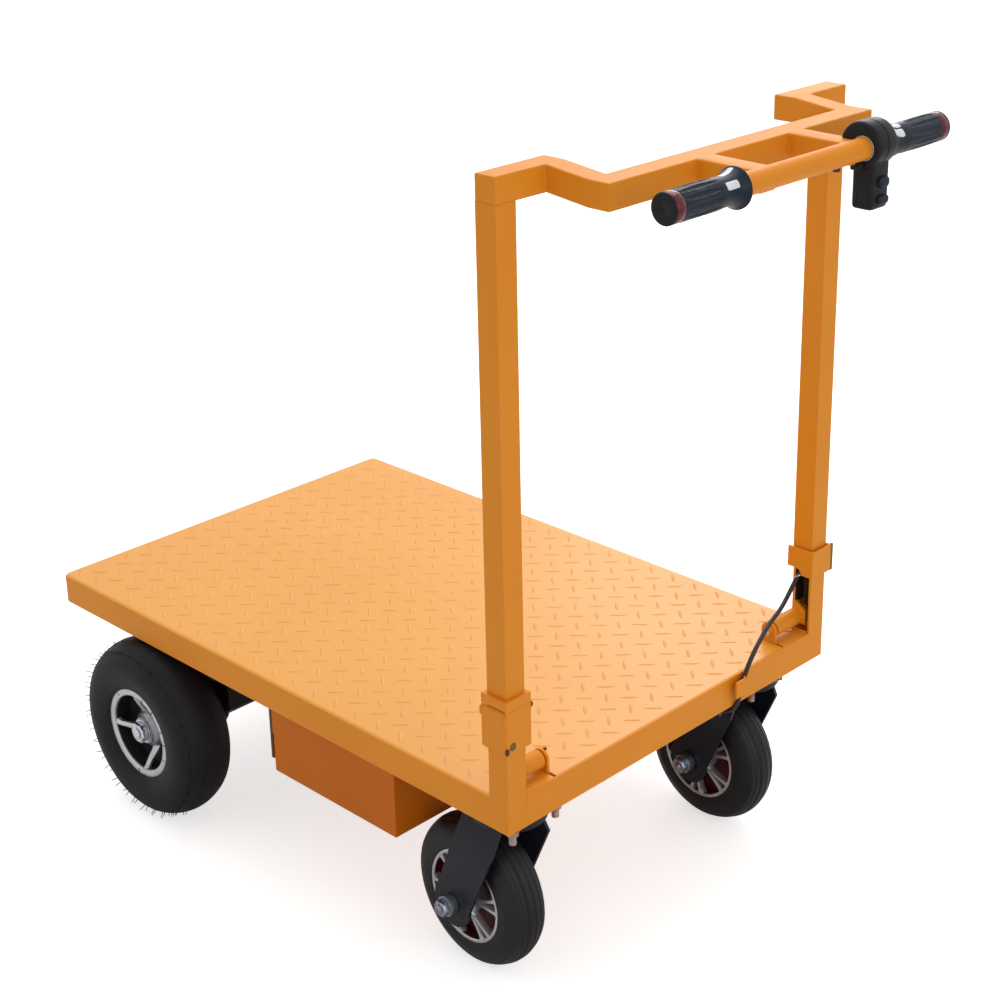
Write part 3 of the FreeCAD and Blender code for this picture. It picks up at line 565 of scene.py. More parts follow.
def makeCable(values):
    curve = bpy.data.curves.new("controlCable", "CURVE")
    curve.dimensions = "3D"
    curve.bevel_depth = values["diameter"] / 2
    curve.bevel_resolution = 5
    curve.resolution_u = 16
    curve.use_fill_caps = True
    spline = curve.splines.new("NURBS")
    route = (values["corner"] + np.array(values["points"]) * mm).tolist()
    spline.points.add(len(route) - 1)
    for point, place in zip(spline.points, route):
        point.co = (*place, 1)
    spline.order_u = 3
    spline.use_endpoint_u = True
    curve.materials.append(paint["cableSheath"])
    piece = bpy.data.objects.new("controlCable", curve)
    scene.collection.objects.link(piece)
    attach(piece, "chassis")
    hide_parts("control_cable")


cableTab = dict(out=9.5, sheet=2.5, start=102, end=121, foot=132, low=282, high=305, sunk=0.5)


def makeCableTab(values):
    # a bent plate on the rear rail that the cable passes behind, open on one side
    half = values["sheet"] / 2
    z = (values["high"] + values["low"]) / 2 * mm
    face = rearX + (values["out"] + half) * mm
    section = roundedLoop(half, (values["high"] - values["low"]) / 2, 0.6, 3)
    start, end, foot = (values[key] * mm for key in ("start", "end", "foot"))
    outer = bar(section, (face, start, z), (face, end, z), ease=0.5)
    slope = bar(section, (face, end - 1 * mm, z), (rearX - values["sunk"] * mm, foot, z), ease=0.5)
    makePiece("cableTabPlate", [outer, slope], "orangePaint", "chassis", "cable_tab")


def makeBareWire(values):
    # a thin bare wire from the sheath's upper end into the post
    path = smooth(values["corner"] + np.array(values["wire"]) * mm)
    makePiece("bareWire", [carried(values["wireRadius"], path, 8)], "zincSteel", "chassis")


makeCable(cable)
makeCableTab(cableTab)
makeBareWire(cable)
print("control cable laid")


# deck, its tread and the box

tread = dict(pitch=40 * mm, first=(190 * mm, 160 * mm), length=24 * mm, width=4.6 * mm,
             height=0.9 * mm, margin=17 * mm)


def makeTread(values):
    # lens-shaped bumps on a square lattice, turned -45 degrees, with others turned +45
    # degrees in the middle of its squares; height = h (1 - v^2)^0.7 (1 - u^2)^0.6 over a
    # lens whose half width is w (1 - u^2)^0.75
    u, v = np.meshgrid(np.sin(np.linspace(-math.pi / 2, math.pi / 2, 9)), np.linspace(-1, 1, 5),
                       indexing="ij")
    wide = np.clip(1 - u ** 2, 0, 1)
    lensX = u * values["length"] / 2
    lensY = v * values["width"] / 2 * wide ** 0.75
    z = deckTop + values["height"] * wide ** 0.6 * np.clip(1 - v ** 2, 0, 1) ** 0.7
    surfaces = []
    for shift, turn in ((0, -math.pi / 4), (0.5, math.pi / 4)):
        spots = []
        for k, start in enumerate(values["first"]):
            line = (np.arange(-40, 41) + shift) * values["pitch"] + start
            spots.append(line[(line > deckLow[k] + values["margin"])
                              & (line < deckHigh[k] - values["margin"])])
        acrossX = lensX * math.cos(turn) - lensY * math.sin(turn)
        acrossY = lensX * math.sin(turn) + lensY * math.cos(turn)
        surfaces += [(np.stack([x + acrossX, y + acrossY, z], axis=-1), False, False)
                     for x in spots[0] for y in spots[1]]
    # the bumps take the lit deck paint a little darker, painted shade
    makePiece("deckTread", surfaces, "litShadedTreadPaint", "chassis", sharp=60)


def paintSides(piece, finish):
    # every face that doesn't look upwards takes the second paint; the lighter first paint left on
    # the upward faces is painted light
    piece.data.materials.append(paint[finish])
    normals = np.empty(len(piece.data.polygons) * 3)
    piece.data.polygons.foreach_get("normal", normals)
    piece.data.polygons.foreach_set("material_index",
                                    (normals.reshape(-1, 3)[:, 2] < 0.5).astype(np.int32))


batteryBox = dict(drop=3, forward=2, floorSheet=3.2, frontSheet=7.5, strap=4.5, strapWide=22,
                  strapFoot=14, strapOut=0.7, strapSide=0.4)


def makeBatteryBox(values):
    # the box with its floor and front moved out a little, and a strap at each end of its front; the
    # box's darker, redder orange is painted shade, and the straps' dark brown is partly their own
    # paint and partly painted shade
    piece = finishedCopy("battery_box", "shadedBoxPaint", 1.2)
    low, high = boxOf("battery_box")
    v = {key: value * mm for key, value in values.items()}
    points = np.empty(len(piece.data.vertices) * 3)
    piece.data.vertices.foreach_get("co", points)
    points = points.reshape(-1, 3)
    points[:, 2] -= v["drop"] * (points[:, 2] < low[2] + v["floorSheet"])
    points[:, 0] -= v["forward"] * (points[:, 0] < low[0] + v["frontSheet"])
    piece.data.vertices.foreach_set("co", points.ravel())
    piece.data.update()
    x = low[0] - v["forward"] + v["strap"] / 2 - v["strapOut"]
    z = (low[2] + v["strapFoot"] + high[2]) / 2
    tall = (high[2] - z) / mm - 0.2
    section = roundedLoop(values["strap"] / 2, tall, 0.8, 3)
    shadedStraps = [bar(section, (x, end, z), (x, end - math.copysign(v["strapWide"], end), z), ease=0.6)
              for end in (low[1] - v["strapSide"], high[1] + v["strapSide"])]
    makePiece("boxFlanges", shadedStraps, "brownSteelAndShade", bodyOf("battery_box"))


# the deck's top keeps the lighter paint, painted light; its sides take the orange
paintSides(finishedCopy("deck_plate", "litDeckPaint", 0.4), "orangePaint")
makeTread(tread)
for node in ("side_rail_left", "side_rail_right", "cross_members", "collar_left", "collar_right"):
    finishedCopy(node, "orangePaint", 0.9)
for node in ("rear_rail", "post_stub_left", "post_stub_right"):
    finishedCopy(node, "orangePaint", 0.3)
for node in ("hinge_pin_left", "hinge_pin_right", "leg_ring"):
    finishedCopy(node, "orangePaint", 0.6)
makeBatteryBox(batteryBox)
finishedCopy("battery", "blackPlastic", 3)
finishedCopy("cable_gland", "blackPlastic", 0.6)
print("deck and box finished")


# wheels: lengths in mm as (radius, offset from the wheel's middle)

driveWheel = dict(
    halfTyre=((60, 32), (65.8, 36), (70, 39), (77, 41.9), (87, 44), (97, 44.2), (107, 42),
              (115, 37.2), (121, 30.6), (125.6, 21.5), (128.8, 11), (130, 0)),
    ribs=((70.5, 0.9, 0.45), (111, 0.9, 0.25)),  # radius, width, height
    ring=((56.2, 30.5), (55.8, 33.4), (56.7, 35.2), (58.4, 36), (63.6, 36), (65.1, 35.5),
          (65.6, 34), (65.2, 32.4), (62, 30.8)),
    barrel=((57.6, 31.5), (57.6, -31.5), (55.4, -31.5), (55.4, 31.5)),
    web=((21, 7), (40, 5), (55.6, 9), (55.6, -9), (40, -5), (21, -7)),
    hub=((10.15, 17.9), (10.15, -17.9), (22, -17.9), (24, -15), (25, 2), (30.5, 6), (30, 10),
         (27.5, 15.5), (26.6, 16.2), (26.2, 17.8), (22.5, 21), (19.6, 23.6), (19.2, 25.4),
         (17.6, 25.8), (14, 26), (12, 25)),
    spokeEnds=(94.5, 184.5, 274.5, 4.5), spokeDepth=8.0, spokeReach=(58.8, 20.5),
    spokeRise=((20, 16.5), (26, 17.5), (30, 19.5), (36, 23.5), (42, 27.5), (50, 31.8), (59, 34.6)),
    spokeSweep=((20, 26), (30, 15), (42, 6), (59, 0)), spokeWidth=(3.9, 5.2, 4.2),
    backReach=(58.6, 22), backOffset=30, backWidth=(4, 3),
    ticks=(72, 50, 22, 4, -20, -95, 130),  # short dark marks on the ring's face, in degrees
    tickReach=(58.6, 63.4), tickOffset=36.05,
    hairRows=(dict(pairs=34, root=(118.4, 33.6), lean=(0.6, 0.95), length=10.5),
              dict(pairs=28, root=(127.4, 15.5), lean=(0.2, 0.5), length=6.0)),
    hairRadius=0.65, hairFloor=0.8, hairApart=0.030, hairStray=0.012, hairBend=0.03)
tentSection = np.array([(-1, -1), (-1, -0.42), (-0.8, -0.3), (-0.14, 0), (0.14, 0), (0.8, -0.3),
                        (1, -0.42), (1, -1)])


def bothSides(half):
    # an outline with its mirror image on the other side of the wheel's middle
    return np.concatenate([half, half[-2::-1] * (1, -1)])


def swirlSpokes(place, values):
    # from the ring each spoke narrows, then dips, sweeps round and widens into the hub's cone
    u = np.linspace(0, 1, 24)
    start, end = values["spokeReach"]
    r = start + (end - start) * u
    middle, hub, ring = values["spokeWidth"]
    width = middle + hub * u ** 3 + ring * np.exp(-u / 0.06)
    rise, sweep = (np.interp(r, *zip(*values[key])) for key in ("spokeRise", "spokeSweep"))
    return [rib(place, r, np.radians(turn + sweep), rise, width, values["spokeDepth"], tentSection)
            for turn in values["spokeEnds"]]


def backSpokes(place, values):
    # flat spokes on the inner side, wider at the ring
    r = np.linspace(*values["backReach"], 8)
    middle, ring = values["backWidth"]
    width = middle + ring * np.exp((r - r[0]) / 4)
    return [rib(place, r, math.radians(turn), values["backOffset"], width, values["spokeDepth"],
                tentSection) for turn in values["spokeEnds"]]


def tyreHairs(place, values, seed):
    # moulding hairs in pairs round the shoulders, leaning outwards and each a little bent
    draw = np.random.default_rng(seed)
    t = np.linspace(0, 1, 4)
    surfaces = []
    for row in values["hairRows"]:
        rootR, rootOffset = row["root"]
        for pair in range(row["pairs"]):
            for side in (-1, 1):
                angle = (2 * math.pi * (pair + 0.5) / row["pairs"] + side * values["hairApart"]
                         + values["hairStray"] * draw.uniform(-1, 1))
                length = row["length"] * draw.uniform(0.75, 1.1) * t
                lean = draw.uniform(*row["lean"])
                r = rootR - 1.5 + length * math.cos(lean)
                offset = rootOffset - 1.0 + length * math.sin(lean) * (1 + 0.15 * t)
                bend = angle + values["hairBend"] * draw.uniform(-1, 1) * t ** 2
                path = around(place, r * mm, bend, offset * mm)
                if path[:, 2].min() > values["hairFloor"] * mm:
                    surfaces.append(carried(values["hairRadius"] * mm * (1 - 0.3 * t), path, 5))
    return surfaces


def makeDriveWheel(name, side, values):
    # tyre and hairs, dark barrel, hub, silver rings and spokes, and the ring's marks
    middle = jointOf("drive_roll_" + name)["pos_m"]
    place = placeOf(middle, (0, side, 0))
    back = placeOf(middle, (0, -side, 0))
    body = "drive_wheel_" + name
    line = smooth(values["halfTyre"], 8)
    for radius, width, height in values["ribs"]:  # each lifts the side by h exp(-((r - r0) / w)^2)
        line[:, 1] += height * np.exp(-((line[:, 0] - radius) / width) ** 2)
    makePiece("driveTyre_" + name, [lathe(place, bothSides(line), True, 128)], "tyreRubber", body,
              "drive_tyre_" + name, 50)
    makePiece("tyreHairs_" + name, tyreHairs(place, values, 7), "tyreRubber", body)
    makePiece("driveBarrel_" + name, [lathe(place, values[key], True) for key in ("barrel", "web")],
              "wheelDark", body)
    makePiece("driveHub_" + name, [lathe(place, values["hub"], True)], "hubSilver", body)
    silver = [lathe(face, values["ring"], True, 128) for face in (place, back)]
    silver += swirlSpokes(place, values) + backSpokes(back, values)
    makePiece("driveRim_" + name, silver, "castSilver", body, "drive_rim_" + name, 34)
    ticks = []
    for tick in values["ticks"]:
        ends = around(place, np.array(values["tickReach"]) * mm, math.radians(tick),
                      values["tickOffset"] * mm)
        ticks.append(bar(roundedLoop(0.7, 0.35, 0.3, 3), *ends, up=(0, 1, 0)))
    makePiece("rimTicks_" + name, ticks, "wheelDark", body)


shaftEnd = dict(shaft=((16, -18.8), (15.4, -18.3), (9.95, -18.3), (9.95, 25.4), (0, 25.4)),
                shoulder=16, nut=dict(flat=13, height=9.4, washer=1.8, tipRadius=8.6, start=26.0),
                past=4)


def makeShaftEnd(name, side, values):
    # shoulder, shaft, washer, nut and the threaded end outside the wheel
    node = "axle_shaft_" + name
    middle = jointOf("drive_roll_" + name)["pos_m"]
    inner, outer = sorted(side * corner[1] / mm for corner in boxOf(node))
    inner -= abs(middle[1]) / mm
    outer -= abs(middle[1]) / mm
    place = placeOf(middle, (0, side, 0))
    nut = values["nut"]
    tip = outer + values["past"] - nut["start"] - nut["washer"] - nut["height"]
    shaft = lathe(place, [(0, inner), (values["shoulder"], inner), *values["shaft"]], steps=48)
    makePiece(node + "_turned", [shaft] + hexHead(place, tip=tip, **nut), "zincSteel",
              bodyOf(node), node)


castorWheel = dict(
    halfTyre=((60.2, 24), (61.2, 28.6), (62.6, 29.9), (66, 30), (70.5, 30), (75, 29.5), (81, 27.2),
              (87.5, 24), (93, 20), (97, 12.8), (99.2, 5.5), (100, 0)),
    grooves=((0, 1.3, 1.7), (9.5, 1.3, 1.7), (17.5, 1.1, 0.8)),  # offset, width, depth
    grooved=(80, 88),  # the grooves fade in between these radii
    ring=((57.3, 26.5), (57.1, 28.4), (57.9, 29.2), (60.4, 29.3), (61.3, 28.8), (61.3, 26.5)),
    barrel=((61.2, 27), (61.2, -27), (57.6, -27), (57.6, 27)),
    dish=((16, 12), (30, 8), (57.8, 12), (57.8, -12), (30, -8), (16, -12)),
    halfHub=((6.2, 44.4), (13.6, 44.4), (14.8, 43.6), (15.6, 40), (16.4, 34.5), (19.5, 31.5),
             (24, 29.6), (24.6, 25), (22, 12)),
    spokeAngles=dict(left=-50, right=-33), spokeCount=6, spokeDepth=9.0,
    stem=((15, 32), (33, 29.4), (4.6, 3.6)),  # radius, offset and half width, from the hub out
    ridge=((26, 58.4), (31, 28.4), (1.9, 2.5)), ridgeSpread=(4.0, 8.6), ridgeFoot=3.0)
flatSection = np.array([(-1, -1), (-1, -0.18), (-0.8, 0), (0.8, 0), (1, -0.18), (1, -1)])


def groovedTyre(place, values):
    # both sides of the outline; each groove lowers it by h exp(-((offset - place) / w)^2)
    line = bothSides(smooth(values["halfTyre"], 12))
    low, high = values["grooved"]
    tread = np.clip((line[:, 0] - low) / (high - low), 0, 1)
    for offset, width, depth in values["grooves"]:
        for mirrored in {offset, -offset}:
            line[:, 0] -= depth * tread * np.exp(-((line[:, 1] - mirrored) / width) ** 2)
    return lathe(place, line, True, 128)


def forkedSpoke(place, angle, values):
    # a stem from the hub that parts into two ridges, each wider where it meets the ring
    r, offset, width = (np.linspace(*span, 10) for span in values["stem"])
    surfaces = [rib(place, r, angle, offset, width, values["spokeDepth"], flatSection)]
    r, offset, width = (np.linspace(*span, 10) for span in values["ridge"])
    width += values["ridgeFoot"] * np.exp(np.linspace(-1, 0, 10) / 0.06)
    spread = np.radians(np.linspace(*values["ridgeSpread"], 10))
    return surfaces + [rib(place, r, angle + side * spread, offset, width, values["spokeDepth"],
                           flatSection) for side in (-1, 1)]


def castorFaces(name):
    # places on the axle, looking out of either side of the wheel
    joint = jointOf("castor_roll_" + name)
    axle = np.array(joint["axis"], float)
    return [placeOf(joint["pos_m"], direction) for direction in (-axle, axle)]


def makeCastorWheel(name, values):
    # a grooved tyre, a dark dish, and a silver hub, rings and spokes on both faces
    faces = castorFaces(name)
    body = "castor_wheel_" + name
    makePiece("castorTyre_" + name, [groovedTyre(faces[0], values)], "castorRubber", body,
              "castor_tyre_" + name, 50)
    makePiece("castorDish_" + name, [lathe(faces[0], values[key], True)
                                     for key in ("barrel", "dish")], "wheelMaroon", body)
    halfHub = np.array(values["halfHub"])
    silver = [lathe(faces[0], np.concatenate([halfHub, halfHub[::-1] * (1, -1)]), True, 72)]
    for mirrored, face in enumerate(faces):
        silver.append(lathe(face, values["ring"], True, 128))
        for k in range(values["spokeCount"]):
            turn = math.radians(values["spokeAngles"][name] + 360 * k / values["spokeCount"])
            silver += forkedSpoke(face, math.pi - turn if mirrored else turn, values)
    makePiece("castorRim_" + name, silver, "castSilver", body, "castor_rim_" + name, 34)


castorAxle = dict(
    bolt=((0, -58), (5.9, -58), (5.9, 58), (0, 58)),
    spacer=((5.9, 49.05), (12.6, 49.05), (13, 49.5), (13, 58.9), (12.4, 59.5), (5.9, 59.5)),
    head=dict(flat=9.8, height=8.6, washer=1.5, tip=4.0, tipRadius=5.6, start=59.5),
    eye=dict(radius=21, offset=49, wide=2.2, tall=0.9))


def makeCastorAxle(name, values):
    # bolt, spacers, washers and nut through the fork, and pressed rings round the fork's eyes
    node = "castor_axle_" + name
    faces = castorFaces(name)
    surfaces = [lathe(faces[0], values["bolt"], steps=32)]
    eye = values["eye"]
    t = np.linspace(0, 2 * math.pi, 10, endpoint=False)
    loop = np.stack([eye["radius"] + eye["wide"] * np.cos(t),
                     eye["offset"] + eye["tall"] * np.sin(t)], axis=-1)
    for face in faces:
        surfaces.append(lathe(face, values["spacer"], True, 40))
        surfaces += hexHead(face, **values["head"])
    # the bolts' darker zinc is painted shade
    makePiece(node + "_bolted", surfaces, "shadedZinc", bodyOf(node), node)
    makePiece("forkTrim_" + name, [lathe(face, loop, True, 64) for face in faces], "blackPaint",
              "castor_" + name)


plateBolts = dict(spread=(42.5, 37.5), plate=5,
                  nut=dict(flat=6.5, height=5.5, tip=2.5, tipRadius=4),
                  rail=dict(left=((345, -286, 13), (341, -210, 13)),  # x, y, length
                            right=((332, 176, 21), (327, 243, 18))),
                  railNut=dict(flat=6.5, height=7.0, washer=1.5, tipRadius=4.6))


def makePlateBolts(name, values):
    # four nuts under each castor's plate, and two long studs through the rear rail
    x, y = jointOf("castor_swivel_" + name)["pos_m"][:2]
    under = boxOf("castor_plate_" + name)[1][2] - values["plate"] * mm
    spreadX, spreadY = (spread * mm for spread in values["spread"])
    surfaces = []
    for sx in (-1, 1):
        for sy in (-1, 1):
            surfaces += hexHead(placeOf((x + sx * spreadX, y + sy * spreadY, under), (0, 0, -1)),
                                **values["nut"])
    makePiece("plateBolts_" + name, surfaces, "zincSteel", "chassis")
    railLow = boxOf("rear_rail")[0][2]
    studs = []
    for x, y, length in values["rail"][name]:
        nut = values["railNut"]
        studs += hexHead(placeOf((x * mm, y * mm, railLow), (0, 0, -1)),
                         tip=length - nut["washer"], **nut)
    makePiece("railStuds_" + name, studs, "rustyZinc", "chassis")


for name, side in sides:
    makeDriveWheel(name, side, driveWheel)
    makeShaftEnd(name, side, shaftEnd)
print("drive wheels made")
for name, side in sides:
    makeCastorWheel(name, castorWheel)
    makeCastorAxle(name, castorAxle)
    makePlateBolts(name, plateBolts)
    finishedCopy("castor_fork_" + name, "forkPaint", 1.5)
    finishedCopy("castor_plate_" + name, "zincSteel", 0.6)
print("castors made")


# drive axle, motor and cradle

axleTrim = dict(coverFace=42.6, coverRadius=47, coverBolts=8,
                coverHead=dict(flat=4, height=3, washer=0.8), cradlePlate=6, cradleInset=18,
                cradleRow=(-150, -50, 50, 150), cradleHead=dict(flat=6.5, height=5),
                ribMargin=24, ribPitch=9,
                rib=((-0.05, -1.6), (0.35, 0), (-0.05, 1.6), (-1.95, 1.6), (-1.95, -1.6)),
                terminals=(-14, 14), terminalHead=dict(flat=4, height=3, washer=1.0))


def makeAxleBolts(values):
    # hexagon bolts round the gearbox's cover and in the cradle's corners
    cradleLow, cradleHigh = boxOf("axle_cradle")
    axle = jointOf("drive_roll_left")["pos_m"]
    surfaces = []
    radius = values["coverRadius"] * mm
    for k in range(values["coverBolts"]):
        a = 2 * math.pi * (k + 0.5) / values["coverBolts"]
        spot = (axle[0] + radius * math.cos(a), -values["coverFace"] * mm,
                axle[2] + radius * math.sin(a))
        surfaces += hexHead(placeOf(spot, (0, -1, 0)), **values["coverHead"])
    under = cradleHigh[2] - values["cradlePlate"] * mm
    inset = values["cradleInset"] * mm
    for x in (cradleLow[0] + inset, cradleHigh[0] - inset):
        for y in values["cradleRow"]:
            surfaces += hexHead(placeOf((x, y * mm, under), (0, 0, -1)), **values["cradleHead"])
    makePiece("axleBolts", surfaces, "zincSteel", "chassis")


def makeMotorTrim(values):
    # cooling ribs round the motor's can, and two terminals on its end
    low, high = boxOf("drive_motor")
    end = np.array(((low[0] + high[0]) / 2, high[1], (low[2] + high[2]) / 2))
    place = placeOf(end, (0, -1, 0))
    radius = (high[2] - low[2]) / 2 / mm
    margin = values["ribMargin"]
    surfaces = [lathe(place, np.array(values["rib"]) + (radius, at), True, 72)
                for at in np.arange(margin, (high[1] - low[1]) / mm - margin, values["ribPitch"])]
    for dz in values["terminals"]:
        surfaces += hexHead(placeOf(end + (0, 0, dz * mm), (0, 1, 0)), **values["terminalHead"])
    makePiece("motorTrim", surfaces, "blackPaint", "chassis")


for node in ("axle_cradle", "drive_axle", "drive_motor"):
    finishedCopy(node, "blackPaint", 0.9)
makeAxleBolts(axleTrim)
makeMotorTrim(axleTrim)
print("axle and motor finished")


# handle: tubes, links and their welds

postTube = 30 * mm
topLow, topHigh = boxOf("top_bar")
barLow, barHigh = boxOf("handlebar")
gripX, gripZ = (float((barLow[k] + barHigh[k]) / 2) for k in (0, 2))
links = dict(places=(-74, 83), width=29, height=24, radius=2.5, barHeight=-3.4, gripHeight=-4.4,
             sunk=3, short=4, bead=1.5, arcBead=1.4, arc=(-0.8, 0.75))


def makeLinks(values):
    # two square links, a little lower at the handlebar, and a bead round each end
    half = values["width"] / 2
    tall = values["height"] / 2
    section = roundedLoop(half, tall, values["radius"], 4)
    start = topHigh[0]
    startZ, endZ = (gripZ + values[key] * mm for key in ("barHeight", "gripHeight"))
    t = np.linspace(*values["arc"], 14)
    radius = (barHigh[0] - barLow[0]) / 2 + 0.3 * mm
    bars = []
    beads = []
    for y in values["places"]:
        bars.append(bar(section, (start - values["sunk"] * mm, y * mm, startZ),
                        (gripX - values["short"] * mm, y * mm, endZ)))
        edges = [(y - half) * mm, (y + half) * mm]
        beads += [weld([(start + 0.4 * mm, edge, startZ - (tall - 1) * mm),
                        (start + 0.4 * mm, edge, startZ + (tall - 1) * mm)], values["bead"])
                  for edge in edges]
        beads += [weld(np.stack([gripX - radius * np.cos(t), edge + 0 * t,
                                 gripZ + radius * np.sin(t) - 1 * mm], axis=-1),
                       values["arcBead"]) for edge in edges]
    makePiece("handleLinkBars", bars, "orangePaint", "handle", "handle_links")
    makePiece("linkWelds", beads, "orangePaint", "handle", sharp=60)


def makeHandleWelds(radius):
    # beads round the joints of the legs and the top bar
    z = topHigh[2] - postTube
    surfaces = []
    for side in (-1, 1):
        outer = side * (deckSide - 0.5 * mm)
        across = [side * (deckSide - inset) for inset in (1.5 * mm, postTube - 1.5 * mm)]
        surfaces.append(weld([(topLow[0] + 0.4 * mm, outer, z), (rearX - 0.4 * mm, outer, z)],
                             radius))
        surfaces.append(weld([(rearX - 0.5 * mm, y, z) for y in across], radius))
    makePiece("handleWelds", surfaces, "orangePaint", "handle", sharp=60)


for node in ("handle_leg_left", "handle_leg_right"):
    finishedCopy(node, "orangePaint", 0.8)
for node in ("top_bar", "handlebar"):
    finishedCopy(node, "orangePaint", 1.6)
makeLinks(links)
makeHandleWelds(0.9)
print("handle tubes and welds made")


# grips, twist control and switch: profiles in mm as (place along the bar, radius)

flange = ((0, 22.5), (2.7, 21.8), (5, 20.2), (9, 18.2), (14, 16.7), (20, 16.0), (27, 16.1),
          (33, 16.7), (38, 17))
grip = dict(
    left=((0, 14), (0, 21.7), (0.5, 22.4), (2.0, 22.5), *flange[1:]),
    right=((0, 16.9), (4, 16.9), (9, 16.4), (14, 16.1), (20, 16.1), (27, 16.6), (32, 17)),
    body=17.0, plain=38, fluteCount=11, fluteDepth=1.6, fluteHalf=29.0, fluteWide=0.66,
    rimHeight=0.35, ringLength=12.5, capLength=2.8, leftRoot=7)


def flutedGrip(place, profile, bodyEnd, values):
    # radius = outline - depth (1 - (angle / width)^2) inside each lens, whose width is
    # w sqrt(1 - u^2) at the share u of its half length
    base = np.array(profile, float)
    d = np.concatenate([base[:, 0], np.arange(base[-1, 0] + 1.5, bodyEnd - 0.6, 1.5),
                        [bodyEnd - 0.5, bodyEnd, bodyEnd]])
    r = np.interp(d, base[:, 0], base[:, 1])
    r[:2] = base[:2, 1]
    r[-2:] = values["body"] - 0.6, 12
    angle = np.linspace(0, 2 * math.pi, 144, endpoint=False)
    step = 2 * math.pi / values["fluteCount"]
    near = (angle + step / 2) % step - step / 2
    u = np.clip((d - (values["plain"] + bodyEnd) / 2) / values["fluteHalf"], -1, 1)
    wide = values["fluteWide"] * step / 2 * np.sqrt(1 - u ** 2) + 1e-6
    share = np.abs(near[None]) / wide[:, None]
    dip = values["fluteDepth"] * np.clip(1 - share ** 2, 0, 1) ** 0.8
    rim = values["rimHeight"] * np.exp(-((share - 1.12) / 0.18) ** 2)
    radius = r[:, None] - (dip - rim) * (1 - u ** 2)[:, None] ** 0.35
    return around(place, radius * mm, angle[None], d[:, None] * mm), False, True


def makeGrip(name, side, values, root, end):
    # the rubber body, its red ring and its round-edged cap
    place = placeOf((gripX, root, gripZ), (0, side, 0))
    length = abs(end - root) / mm
    cap = length - values["capLength"]
    ring = cap - values["ringLength"]
    makePiece("grip_" + name + "_body", [flutedGrip(place, values[name], ring, values)],
              "gripRubber", "handle", "grip_" + name, 50)
    makePiece("gripRing_" + name,
              [lathe(place, [(13, ring - 0.4), (16.2, ring - 0.4), (16.9, ring + 0.6),
                             (16.9, cap - 0.6), (16.2, cap + 0.4), (13, cap + 0.4)], True)],
              "redRing", "handle", sharp=50)
    makePiece("gripCap_" + name,
              [lathe(place, [(0, cap), (16.6, cap), (17, cap + 0.7), (17, length - 1.6),
                             (16.6, length - 0.8), (15.8, length - 0.2), (14, length),
                             (3, length), (2.4, length - 0.6), (0, length - 0.6)])],
              "blackPlastic", "handle", sharp=50)


housing = dict(
    radius=26, splitAt=17, length=34, coneLength=15, coneStart=2.4, coneEnd=17.4,
    start=((0, 3), (0.8, 1.2), (2.4, 0.2), (4, 0)),  # (along, below the full radius)
    split=((-0.7, 0), (-0.5, 0.8), (0.5, 0.8), (0.7, 0)), end=((-3, 0), (-1, 0.7), (0, 2)),
    clamp=dict(half=(7, 4.5), radius=1.5, along=(-7, 12), rise=4),
    lip=((12.6, -1), (12.6, 0.5), (13.1, 0.9), (13.8, 0.8), (14.1, 0.2), (14.1, -1)),
    screws=(9, 26), screwAt=(0.62, 0.785), screwHead=dict(flat=2.2, height=0.9, washer=0.0))


def makeHousing(values):
    # two turned shells with a split between them, and a cone that leads into the grip
    low, high = (corner / mm for corner in boxOf("throttle_housing"))
    full = values["radius"]
    x, z = low[0] + full, high[2] - full
    y = low[1]
    end = y + values["length"]
    stations = [(start + along, x, z, full - below)
                for key, start in (("start", y), ("split", y + values["splitAt"]), ("end", end))
                for along, below in values[key]]
    coneStart = full - values["coneStart"]
    for u in np.linspace(0.12, 1, 8):
        share = 1 - (1 - u) ** 1.8
        stations.append((end + values["coneLength"] * u, x + (gripX / mm - x) * share,
                         z + (gripZ / mm - z) * share,
                         coneStart + (values["coneEnd"] - coneStart) * share))
    ys, xs, zs, rs = (np.array(stations, float).T * mm)[:, :, None]
    t = np.linspace(0, 2 * math.pi, 96, endpoint=False)
    shell = capped(np.stack([xs + rs * np.cos(t), ys + 0 * t, zs + rs * np.sin(t)], axis=-1))
    clamp = values["clamp"]
    block = bar(roundedLoop(*clamp["half"], clamp["radius"], 4),
                *((x * mm, (y + along) * mm, (z - full + clamp["rise"]) * mm)
                  for along in clamp["along"]), ease=1)
    makePiece("throttleBody", [shell, block], "blackPlastic", "handle", "throttle_housing", 50)
    makePiece("throttleLip", [lathe(placeOf((gripX, (y + 0.2) * mm, gripZ), (0, -1, 0)),
                                    values["lip"], True)], "castSilver", "handle", sharp=50)
    downX, downZ = values["screwAt"]
    screws = []
    for along in values["screws"]:
        spot = np.array((x - full * downX, y + along, z - full * downZ)) * mm
        screws += hexHead(placeOf(spot, (-downX, 0, -downZ)), **values["screwHead"])
    makePiece("throttleScrews", screws, "zincSteel", "handle")


switchBox = dict(corner=4, above=6, foot=((5, 0), (2.2, 0.5), (0.7, 1.6), (0, 3.4)),
                 buttons=((983, 6.2), (963.5, 4.6)),  # height above the floor, half size
                 buttonHalf=9, buttonAcross=3,
                 dome=((-0.5, 0), (2.4, 0), (3.7, 0.8), (4.4, 2.4), (4.5, 3.6)),
                 seam=8, seamFrom=4, seamTo=2, seamRadius=0.35, seamOut=0.2)


